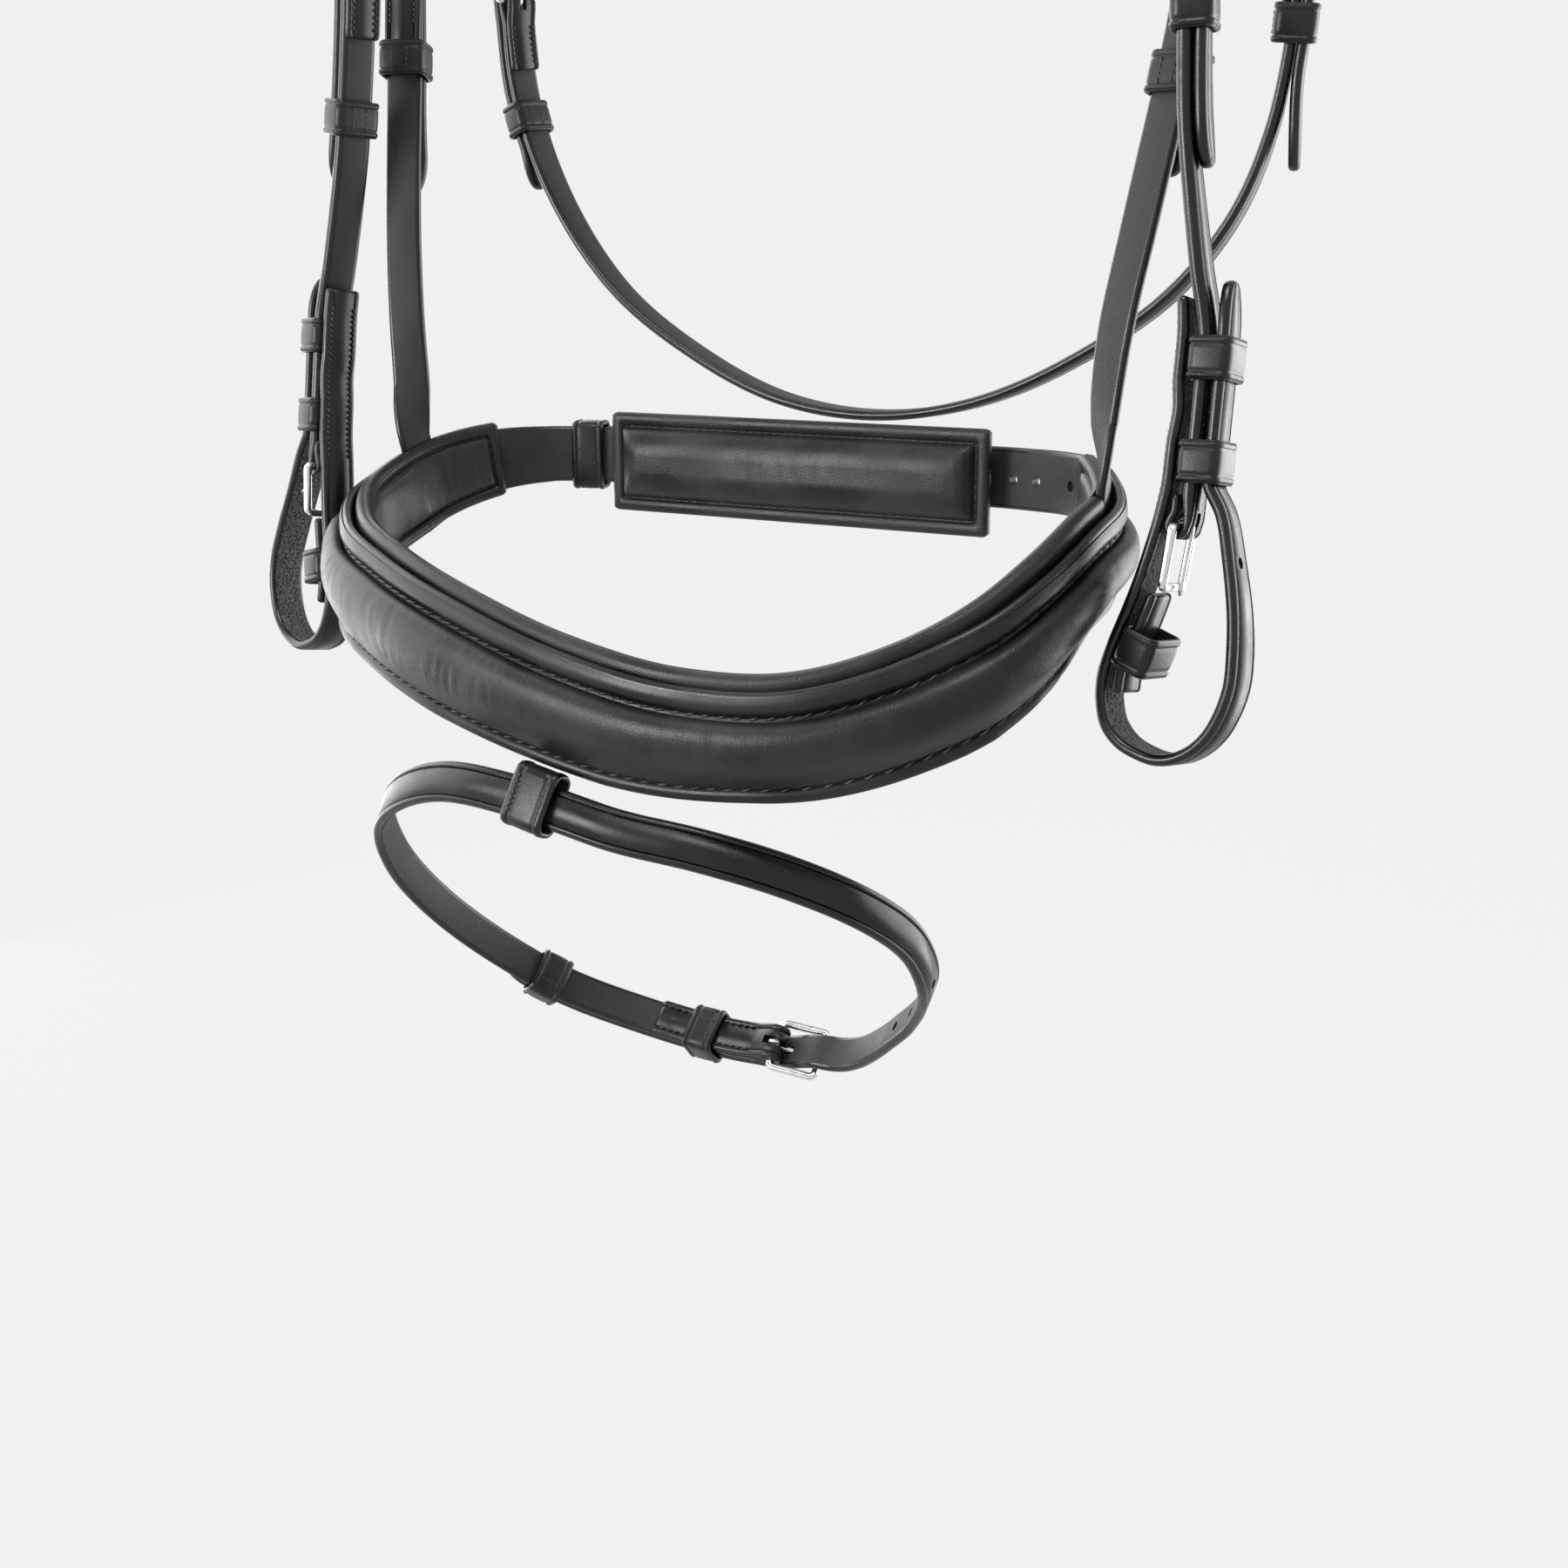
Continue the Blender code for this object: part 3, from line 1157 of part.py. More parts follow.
def add_chin_pad(ring):
    """The stuffed pad behind the chin, hung on the rear strap by two loops."""
    strap_drop = LINING_STEP + NOSEBAND_TAIL_HEIGHT / 2
    start = ring.at(0)
    face = noseband_offset() - NOSEBAND_THICKNESS / 2
    middle = moved(start, across=-strap_drop - CHIN_PAD_LOWERED, outward=face - CHIN_PAD_GAP)
    frame = Matrix.Translation((CHIN_PAD_MIDDLE, middle.translation.y, middle.translation.z))
    half = CHIN_PAD_LENGTH / 2
    along_x = Line([
        (frame @ Vector((-half, 0, 0)), Vector((0, 0, 1))), (frame @ Vector((half, 0, 0)), Vector((0, 0, 1))),
    ])
    edges = (-CHIN_PAD_HEIGHT / 2, CHIN_PAD_HEIGHT / 2)
    cushion("chin_pad", along_x, 0, along_x.length, lambda point: edges, 0, CHIN_PAD_BULGE,
            CHIN_PAD_TAPER, PADDING, rim=CHIN_PAD_RIM_THICKNESS)
    high = CHIN_PAD_GAP + NOSEBAND_THICKNESS / 2 + NOSEBAND_THICKNESS / 2
    high += overlay_offset(NOSEBAND_THICKNESS, NOSEBAND_THICKNESS)
    low = GAP + CHIN_LOOP_WALL + CHIN_LOOP_SLACK
    for side in (1, -1):
        place = moved(along_x.at(half + side * CHIN_LOOP_PLACE), across=CHIN_PAD_LOWERED)
        place = place @ Matrix.Rotation(math.pi, 4, "Z")
        keeper(side_name(side) + "chin_pad_loop", place, NOSEBAND_TAIL_HEIGHT, low, high,
               height=CHIN_LOOP_LENGTH, wall=CHIN_LOOP_WALL, slack=CHIN_LOOP_SLACK)
    carry("chin_pad_slide", frame.translation, ("chin_pad", "left_chin_pad_loop", "right_chin_pad_loop"))


def flash_point(shares):
    """A point of the flash strap's middle line and its across direction."""
    x, y, drop = shares
    point = Vector((
        x * FLASH_HALF_WIDTH, y * FLASH_HALF_DEPTH - FLASH_MIDDLE_DEPTH, drop * FLASH_DROP - FLASH_TOP_DROP,
    ))
    front, back = Vector(FLASH_FRONT_ACROSS_SHARES), Vector(FLASH_BACK_ACROSS_SHARES)
    return point, front.lerp(back, min(1, -2 * min(drop, 0)))


def add_flash(ring):
    """Flash strap, its buckle and keepers, and the loop that lets them swing under the noseband."""
    flash = Line([flash_point(FLASH_START_SHARES)] + [flash_point(shares) for shares in FLASH_RING_SHARES])
    made, heel = add_ring_strap("flash_strap", flash, (0, 0), 0, FLASH_THICKNESS, FLASH_RETURN_LENGTH,
                                FLASH_TAIL, plain_width, False)
    add_buckle("flash", heel, STRAP_WIDTH, billet_lift())
    for number in range(FLASH_HOLES):
        frame = flash.at(flash.length - FLASH_HOLE_START - number * HOLE_PITCH)
        punch(made, number + 1, frame, FLASH_THICKNESS)
    names = ("flash_fixed_keeper", "flash_sliding_keeper")
    for name, place in zip(names, FLASH_KEEPER_PLACES):
        over_return = place < FLASH_RETURN_LENGTH
        low = stack_low(FLASH_THICKNESS) if over_return else -FLASH_THICKNESS / 2
        high = overlay_offset(FLASH_THICKNESS, FLASH_THICKNESS) + FLASH_THICKNESS / 2
        keeper(name, flash.at(place), STRAP_WIDTH, low, high, slack=FLASH_KEEPER_SLACK)
    hinge = add_flash_loop(flash, ring)
    carry("flash_swing", hinge, ("flash_loop", "flash_strap", "flash_buckle", "flash_tongue") + names)


def add_flash_loop(flash, ring):
    """A loop round the flash strap, with a tab up to the noseband. Returns where it swings."""
    at_x = FLASH_LOOP_AT_SHARE * FLASH_HALF_WIDTH
    band = ring.at(ring.first(lambda point: point.x > at_x and point.y < 0))
    through = flash.at(flash.first(lambda point: point.x > at_x and point.y < 0))
    frame = make_frame(through.translation, band.col[2].xyz + through.col[2].xyz, through.col[0].xyz)
    bottom = moved(band, across=-LINING_STEP - noseband_height(band.translation), outward=noseband_offset())
    seat = frame.inverted() @ bottom.translation
    half = STRAP_WIDTH / 2 + FLASH_LOOP_SLACK
    high = FLASH_THICKNESS / 2 + FLASH_LOOP_SLACK
    low, wall, tab = -high, FLASH_LOOP_WALL, FLASH_TAB_HALF_THICKNESS
    tab_middle = min(max(seat.y, low - wall + tab), high + wall - tab)
    top = seat.x - FLASH_SWING_GAP
    outer = rounded_outline(-half - wall, half + wall, low - wall, high + wall, KEEPER_CORNER / 2)
    outer[4:4] = [(half + wall, tab_middle - tab), (top, tab_middle - tab), (top, tab_middle + tab),
                  (half + wall, tab_middle + tab)]
    inner = rounded_outline(-half, half, low, high, KEEPER_CORNER / 2)
    made = outline_curve("flash_loop", (outer, inner), FLASH_LOOP_LENGTH, LEATHER)
    made.matrix_world = frame
    return frame @ Vector((top, tab_middle, 0))


def add_browband():
    """The band across the brow, looped round the three billets at either end."""
    across = Vector(BROWBAND_ACROSS_SHARES)
    half = [(routed((*shares, 0, 0), 1)[0], across) for shares in BROWBAND_ROUTE_SHARES]
    x, y, z = BROWBAND_FRONT_SHARES
    front = (Vector((x * FACE_HALF_WIDTH, y * FACE_DEPTH, z * FACE_DROP)), Vector((0, 0, -1)))
    line = Line(half + [front] + mirrored(half))
    strap("browband", line, lambda point: BROWBAND_WIDTH, BROWBAND_THICKNESS, LEATHER)
    carry("browband_slide", front[0], ("browband",))


def clear_scene():
    for thing in list(bpy.data.objects):
        bpy.data.objects.remove(thing)
    bpy.context.scene.collection.children.link(PARTS)
    bpy.context.scene.collection.children.link(CUTTERS)


clear_scene()
LEATHER = material("black_leather", (0.028, 0.028, 0.030), 0.42)
PADDING = material("soft_lining_leather", (0.040, 0.040, 0.042), 0.55)
STEEL = material("stainless_steel", (0.62, 0.62, 0.63), 0.22, 1.0)


def main():
    cheek_axes, cheek_heels = {}, {}
    for side in (1, -1):
        cheek_axes[side], cheek_heels[side] = add_cheek(side)
        add_bit_end(side)
    crown = add_headpiece(cheek_axes, cheek_heels)
    add_crown_pad(crown)
    add_throatlash(crown)
    ring = add_noseband()
    for side in (1, -1):
        add_hanger(side, ring, crown)
    add_chin_pad(ring)
    add_flash(ring)
    add_browband()


main()
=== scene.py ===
"""The dressed snaffle bridle: creased straps, padding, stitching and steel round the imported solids.

Every strap follows the same line as its solid, so it lies where the solid lies. Lengths are in metres.
Each place on a line has a frame: x runs across the strap, y points outward and z runs along it.
"""

import bisect
import json
import math

import bmesh
import bpy
from mathutils import Matrix, Vector, noise

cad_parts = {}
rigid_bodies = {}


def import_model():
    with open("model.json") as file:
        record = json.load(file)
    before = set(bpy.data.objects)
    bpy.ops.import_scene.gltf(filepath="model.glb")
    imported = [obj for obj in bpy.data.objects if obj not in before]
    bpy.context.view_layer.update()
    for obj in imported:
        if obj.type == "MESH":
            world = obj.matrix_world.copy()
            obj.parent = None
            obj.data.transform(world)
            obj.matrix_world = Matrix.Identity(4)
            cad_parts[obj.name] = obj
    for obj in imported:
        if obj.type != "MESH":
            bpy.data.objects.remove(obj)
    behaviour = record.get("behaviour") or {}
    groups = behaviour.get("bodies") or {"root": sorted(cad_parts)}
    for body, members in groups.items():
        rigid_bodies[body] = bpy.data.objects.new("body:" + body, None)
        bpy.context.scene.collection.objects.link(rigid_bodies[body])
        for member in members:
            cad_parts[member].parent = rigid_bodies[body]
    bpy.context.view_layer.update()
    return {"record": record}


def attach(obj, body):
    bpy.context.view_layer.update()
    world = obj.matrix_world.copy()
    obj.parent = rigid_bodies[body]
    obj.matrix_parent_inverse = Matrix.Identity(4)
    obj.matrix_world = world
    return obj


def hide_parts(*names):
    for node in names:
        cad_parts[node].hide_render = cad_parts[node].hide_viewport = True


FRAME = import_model()
BODY_OF = {node: body for body, nodes in FRAME["record"]["behaviour"]["bodies"].items() for node in nodes}
SHOWN = "_shown"

# Finishes' places in a leather piece: its grain side, its edges and its back. The edge finish also paints shade into
# the flanks of the grain side's creases
FACE, EDGE, BACK = 0, 1, 2

# How edges, creases and ends are shaped
EDGE_STEPS = 6
EDGE_REACH_SHARE = 0.45
CREASE_INSET = 0.0022
CREASE_DEPTH = 0.00070
CREASE_HALF_WIDTH = 0.00044
END_STATION_SHARES = (0.02, 0.15, 0.4, 0.7, 1.0)
END_FLAT_SHARE = 0.3
SHARP_DEGREES = 65
NEAR_STEP = 0.00005
KEEPER_CORNER_STEPS = 5
NOSE_SEAM_DEPTH = 0.0005
NOSE_EXTRA_DROP = 0.0048
NOSE_EXTRA_DEPTH_SHARES = ((-0.2, 1.0), (0.15, 0.0))
NOSE_EXTRA_SHARES = ((-0.97, 0.4), (-0.85, 1.0), (-0.35, 1.0), (-0.05, 0.62), (0.15, 0.55), (0.45, 0.0))

# Wrinkles in the padding
WRINKLE_DEPTH = 0.00055
WRINKLE_PITCH = 0.0028
WRINKLE_LENGTH = 0.014
WRINKLE_PATCH = 0.030
CUSHION_STEPS = 22
CUSHION_RUN = 0.0012

# Thread
STITCH_PITCH = 0.0030
PAD_STITCH_PITCH = 0.0034
FINE_STITCH_PITCH = 0.0020
THREAD_RADIUS = 0.00028
STITCH_FILL_SHARE = 0.86
STITCH_SLANT_DEGREES = 16
STITCH_SIDES = 6
STITCH_SHARES = ((-1.0, 0.25), (-0.8, 0.75), (-0.4, 1.0), (0.0, 1.0), (0.4, 1.0), (0.8, 0.75), (1.0, 0.25))
CHAPE_STITCH_INSET = 0.0022
KEEPER_SLIDE_ROOM = 0.0056
LOOP_SEAM_START = 0.006
LOOP_SEAM_END = 0.060

# Clearances and leather

GAP = 0.0003
OVERLAY_GAP = 0.0004
SOFT_GAP = 0.0005
RUNNING_GAP = 0.0006
STRAP_WIDTH = 0.013
STRAP_THICKNESS = 0.0036
CHEEK_THICKNESS = 0.0042
BIT_LOOP_THICKNESS = 0.0034
SKIVED_THICKNESS = 0.002
TIP_LENGTH = 0.013
TIP_FLAT_SHARE = 0.14

TIP_STATION_SHARES = (0.02, 0.06, 0.12, 0.2, 0.3, 0.42, 0.56, 0.75, 0.95)

CORNER_SHARE = 0.28
RETURN_LENGTH = 0.026
SHORT_RETURN_LENGTH = 0.009
FLASH_RETURN_LENGTH = 0.050
SKIVE_LENGTH = 0.009
HOLE_DIAMETER = 0.0034
HOLE_PITCH = 0.015

# Buckles: a bent wire frame and a tongue hooked round its heel bar
WIRE_RADIUS = 0.0013
TONGUE_RADIUS = 0.0009
BUCKLE_LENGTH = 0.017
BUCKLE_CORNER = 0.0018
BUCKLE_SIDE_GAP = 0.0008
BUCKLE_APPROACH = 0.007
OPEN_BUCKLE_LIFT = -0.0015
TONGUE_OVERHANG = 0.0022
HOOK_START_DEGREES = 320
HOOK_STEP_DEGREES = 40
TONGUE_HOLE_GAP = 0.0009
FOLD_STEP_DEGREES = 30
MIDWAY_RISE_SHARE = 0.55

# Keepers
KEEPER_HEIGHT = 0.012
KEEPER_WALL = 0.0014
KEEPER_CORNER = 0.0029
BIT_LOOP_SLACK = 0.0015

# Head shape that the routes are shares of: half width, front to back, and poll to bit
FACE_HALF_WIDTH = 0.160
FACE_DEPTH = 0.100
FACE_DROP = 0.400

# Crown and the billets sewn under it
CROWN_WIDTH = 0.040
CROWN_PAD_THICKNESS = 0.009
CROWN_PAD_WIDTH = 0.046
CROWN_PAD_LENGTH = 0.150
CROWN_WIDTH_SHARES = ((0.56, 1.0), (0.66, 0.85), (0.76, 0.5), (0.84, 0.325))
SEWN_START = 0.084
SEWN_END = 0.116
NOSE_BILLET_SHIFT = -0.0035
THROAT_BILLET_SHIFT = 0.0115

# Where each side's upper keepers and tips lie below their heel bars, left side first
CHEEK_KEEPER_PLACES = {1: 0.034, -1: 0.052}
CHEEK_BILLET_END = 0.076
HANGER_KEEPER_PLACES = {1: 0.048, -1: 0.030}
HANGER_BILLET_END = 0.075
THROAT_KEEPER_PLACES = {1: 0.026, -1: 0.044}
THROAT_BILLET_END = 0.070
TAIL_SPRING = 0.004

# How the empty bridle hangs unevenly: each side's shift inward and its bit loop's swing outward
CHEEK_SHIFT = {1: 0.0, -1: 0.012}
CHEEK_SHIFT_SHARES = ((-0.712, 0.0), (-0.42, 1.0), (-0.30, 0.65), (-0.215, 0.0))
THROAT_SHIFT = {1: 0.0045, -1: -0.009}
THROAT_SAG = {1: 0.002, -1: 0.004}
THROAT_SAG_SHARES = ((-0.79, 0.6), (-0.73, 1.0), (-0.678, 1.0), (-0.62, 0.0))
THROAT_SHIFT_SHARES = ((-0.70, 0.0), (-0.50, 1.0), (-0.318, 0.8), (-0.25, 0.0))
END_SHIFT = {1: -0.0026, -1: 0.0}
CHEEK_TWIST_DEGREES = {1: 15, -1: 0}
CHEEK_TWIST_SHARES = ((-0.70, 1.0), (-0.575, 0.4), (-0.4125, 0.0))
LOOP_TWIST_DEGREES = {1: 10, -1: 0}
LOOP_SWING = {1: 0.0, -1: 0.006}
LOOP_INNER_SPREAD_SHARE = {1: 1.19, -1: 1.08}
LOOP_OUTER_SPREAD_SHARE = {1: 1.0, -1: 1.18}

# Bit loop and its keepers, measured down the cheek end
LOOP_HALF_WIDTH = 0.017
LOOP_DROP = 0.118
CHEEK_HEEL_DROP = 0.052
KEEPER_DROPS = (0.006, 0.034)
LOOP_HOLE_DROPS = (0.061, 0.034)
GUARD_START_DROP = 0.0695
GUARD_LENGTH = 0.0325
GUARD_THICKNESS = 0.003
GUARD_KEEPER_SHARE = 0.554
GUARD_KEEPER_HOLLOW = 0.0085
GUARD_BOW_GAP = 0.0005

# Noseband
NOSE_HALF_WIDTH = 0.137
NOSE_HALF_DEPTH = 0.070
NOSE_TOP_DROP = 0.320
NOSE_SAG = 0.058
NOSEBAND_HEIGHT = 0.0335
NOSEBAND_TAIL_HEIGHT = 0.021
NOSEBAND_THICKNESS = 0.0032
LAYER_GAP = 0.0012
LINING_THICKNESS = 0.0065
LINING_HEIGHT = 0.033
LINING_STEP = 0.0035
LINING_TIP_LENGTH = 0.012
ROLL_BULGE = 0.0062
ROLL_TOP_STEP = 0.008
ROLL_BOTTOM_STEP = 0.0058
ROLL_TAPER = 0.020
NOSEBAND_TAIL = 0.124
NOSEBAND_KEEPER_PLACES = (0.034, 0.110)
NOSEBAND_KEEPER_SLACK = 0.0009
NOSEBAND_HOLE_START = 0.040
NOSEBAND_HOLES = 4

# Hangers and their pockets in the lining
HANGER_THICKNESS = 0.0032
HANGER_DEPTH = 0.024
HANGER_POCKET_FLOOR = 0.0022
HANGER_INSET = 0.0007
POCKET_SIDE_GAP = 0.0007

# Chin pad
CHIN_PAD_LENGTH = 0.153
CHIN_PAD_HEIGHT = 0.036
CHIN_PAD_LOWERED = 0.001
CHIN_PAD_MIDDLE = -0.0035
CHIN_PAD_RIM_THICKNESS = 0.0038
CHIN_PAD_BULGE = 0.005
CHIN_PAD_GAP = 0.0056
CHIN_PAD_TAPER = 0.020
CHIN_LOOP_PLACE = 0.056
CHIN_LOOP_LENGTH = 0.010
CHIN_LOOP_WALL = 0.0016
CHIN_LOOP_SLACK = 0.0018

# Flash strap
FLASH_HALF_WIDTH = 0.094
FLASH_DEPTH_ROOM = 0.014
FLASH_HALF_DEPTH = NOSE_HALF_DEPTH - FLASH_DEPTH_ROOM
FLASH_MIDDLE_DEPTH = 0.026
FLASH_TOP_DROP = 0.4190
FLASH_DROP = 0.118
FLASH_THICKNESS = 0.0034
FLASH_TAIL = 0.112
FLASH_KEEPER_PLACES = (0.030, 0.094)
FLASH_KEEPER_SLACK = 0.0007
FLASH_HOLE_START = 0.014
FLASH_HOLES = 4
FLASH_LOOP_LENGTH = 0.016
FLASH_LOOP_WALL = 0.0016
FLASH_LOOP_SLACK = 0.0009

FLASH_SWING_GAP = 0.0008

# Browband
BROWBAND_WIDTH = 0.016
BROWBAND_THICKNESS = 0.003

# How finely lines become straight runs
FINE_STEP = 0.0005

GUIDE_STEP = 0.009
SAG_LIMIT = 0.000015

TWIST_LIMIT = 0.00010

LONGEST_RUN = 0.006

CUT_OVERRUN = 0.004
WELD_DISTANCE = 0.000001
CORNER_STEP_DEGREES = 10

PUNCH_SIDES = 20

PUNCH_REACH = 3
WIDTH_CHECK_SHARES = (0, 0.25, 0.5, 0.75)

CROWN_DEPTH_SHARE = 0.13
HEAD_ROUTE_SHARES = (
    (0.285, 0.13, 0.014, 0.0, 1.0),
    (0.550, 0.12, -0.044, 0.0, 1.0),
    (0.742, 0.09, -0.125, 0.0, 1.0),
    (0.838, 0.06, -0.212, -0.08, 1.0),
    (0.905, 0.05, -0.300, -0.22, 0.97),
)
CHEEK_ROUTE_SHARES = (
    (0.952, 0.062, -0.4125, -0.27, 0.96),
    (0.958, 0.062, -0.4925, -0.27, 0.96),
    (0.968, 0.062, -0.575, -0.27, 0.96),
    (0.983, 0.062, -0.625, -0.27, 0.96),
    (1.000, 0.061, -0.672, -0.27, 0.96),
)
CHEEK_END_SHARES = (1.017, 0.059, -0.712, -0.27, 0.96)
CHEEK_END_LEAN_SHARE = 0.14
NOSE_BILLET_ROUTE_SHARES = (
    (0.804, 0.24, -0.220, -0.20, 0.98),
    (0.862, 0.30, -0.300, -0.60, 0.80),
)
HANGER_ROUTE_SHARES = (
    (0.915, 0.355, -0.415, -0.87, 0.50),
    (0.902, 0.305, -0.500, -0.93, 0.36),
    (0.880, 0.235, -0.582, -0.95, 0.31),
    (0.862, 0.187, -0.640, -0.95, 0.31),
    (0.838, 0.140, -0.712, -0.93, 0.37),
    (0.828, 0.130, -0.765, -0.85, 0.52),
)
THROAT_BILLET_ROUTE_SHARES = (
    (0.806, 0.44, -0.220, -0.05, 1.0),
    (0.900, 0.82, -0.318, -0.15, 1.0),
)
THROAT_ROUTE_SHARES = (
    (0.960, 1.15, -0.415, -0.27, 0.96),
    (0.945, 1.18, -0.500, -0.27, 0.96),
    (0.915, 1.18, -0.555, -0.20, 0.97),
    (0.845, 1.18, -0.620, -0.15, 1.0),
    (0.715, 1.18, -0.678, -0.05, 1.0),
    (0.510, 1.18, -0.734, 0.0, 1.0),
    (0.250, 1.18, -0.780, 0.0, 1.0),
)
THROAT_BOTTOM_SHARES = (0.0, 1.18, -0.798, 0.0, 1.0)
BROWBAND_ROUTE_SHARES = (
    (0.782, -0.43, -0.222), (0.812, -0.340, -0.222), (0.806, -0.20, -0.221), (0.776, -0.08, -0.219),
    (0.760, 0.05, -0.218), (0.758, 0.26, -0.218), (0.764, 0.48, -0.218), (0.790, 0.575, -0.218),
    (0.845, 0.575, -0.218), (0.872, 0.48, -0.218), (0.876, 0.26, -0.218), (0.872, -0.03, -0.218),
    (0.835, -0.36, -0.222), (0.660, -0.70, -0.234), (0.350, -0.92, -0.246),
)
BROWBAND_FRONT_SHARES = (0.0, -0.985, -0.250)
BROWBAND_ACROSS_SHARES = (0.36, 0.0, -0.93)

# Bit loop, down the inner leg and up the outer one, as shares of its half width and drop
LOOP_INNER_SHARES = (
    (-0.38, 0.345), (-0.46, 0.425), (-0.56, 0.51), (-0.69, 0.605), (-0.81, 0.675),
    (-0.94, 0.745), (-1.035, 0.815), (-1.015, 0.875), (-0.90, 0.93), (-0.67, 0.968),
    (-0.38, 0.988), (-0.076, 0.997),
)
LOOP_OUTER_SHARES = (
    (0.20, 0.990), (0.50, 0.968), (0.80, 0.925), (1.00, 0.868), (1.12, 0.80), (1.12, 0.73),
    (1.03, 0.645), (0.80, 0.515), (0.56, 0.402),
)
LOOP_TOP_SHARES = (-0.42, -0.09)
LOOP_TIP_SHARES = (0.26, -0.13)

# Noseband's top edge, from behind the chin round the front and back, then its outward lean
NOSE_START_SHARES = (0.13, 0.940, -0.005, 0.0)
NOSE_RING_SHARES = (
    (-0.20, 0.940, -0.005, 0.0), (-0.56, 0.920, -0.005, 0.0), (-0.72, 0.815, -0.003, 0.01),
    (-0.843, 0.570, -0.015, 0.02), (-0.945, 0.180, -0.125, 0.02), (-0.952, -0.160, -0.290, 0.02),
    (-0.839, -0.457, -0.440, 0.06), (-0.613, -0.700, -0.580, 0.08), (-0.307, -0.886, -0.750, 0.07),
    (0.0, -0.993, -0.900, 0.0), (0.307, -1.021, -0.985, -0.11), (0.569, -0.979, -0.940, -0.19),
    (0.740, -0.871, -0.800, -0.20), (0.880, -0.714, -0.605, -0.20), (0.960, -0.457, -0.390, -0.20),
    (0.982, -0.160, -0.235, -0.17), (0.964, 0.180, -0.145, -0.08), (0.843, 0.570, -0.015, 0.0),
    (0.72, 0.815, -0.003, 0.0), (0.56, 0.925, -0.005, 0.0),
)
NOSEBAND_HEIGHT_SHARES = ((-0.40, 1.0), (0.17, 0.92), (0.55, 0.70), (0.86, 0.609))
LINING_HEIGHT_SHARES = ((-0.40, 1.0), (0.17, 0.92), (0.57, 0.82))
HANGER_DEPTH_SHARE = 0.17
LINING_END_DEPTH_SHARE = 0.57
ROLL_END_DEPTH_SHARE = 0.10
ROLL_LEFT_END_DEPTH_SHARE = 0.42
ROLL_FULLNESS = ((-0.30, 1.0), (0.08, 0.88), (0.42, 0.45))

# Flash ring from its buckle round the right, the front and the left, as shares
FLASH_START_SHARES = (0.12, 0.985, -0.990)
FLASH_RING_SHARES = (
    (-0.10, 0.985, -1.0), (-0.46, 0.915, -0.970), (-0.74, 0.680, -0.880),
    (-0.93, 0.370, -0.735), (-1.03, -0.02, -0.545), (-1.01, -0.39, -0.355), (-0.91, -0.66, -0.190),
    (-0.74, -0.83, -0.090), (-0.46, -0.955, -0.014), (-0.20, -1.0, -0.010), (0.02, -1.0, -0.032),
    (0.24, -0.980, -0.062), (0.50, -0.875, -0.092), (0.75, -0.690, -0.150), (0.94, -0.400, -0.250),
    (1.01, -0.09, -0.370), (1.00, 0.16, -0.510), (0.87, 0.470, -0.670), (0.65, 0.750, -0.840),
)
FLASH_LOOP_AT_SHARE = -0.072
FLASH_FRONT_ACROSS_SHARES = (0.0, 0.35, 0.94)
FLASH_BACK_ACROSS_SHARES = (0.0, 0.72, 0.69)

# A cushion's outline, as shares of its half width and bulge, and how it fills near its ends
CUSHION_END_SHARE = 0.10

RIMMED_PANEL_SHARE = 0.82
PARTS = bpy.data.collections.new("snaffle_bridle")
CUTTERS = bpy.data.collections.new("cutters")


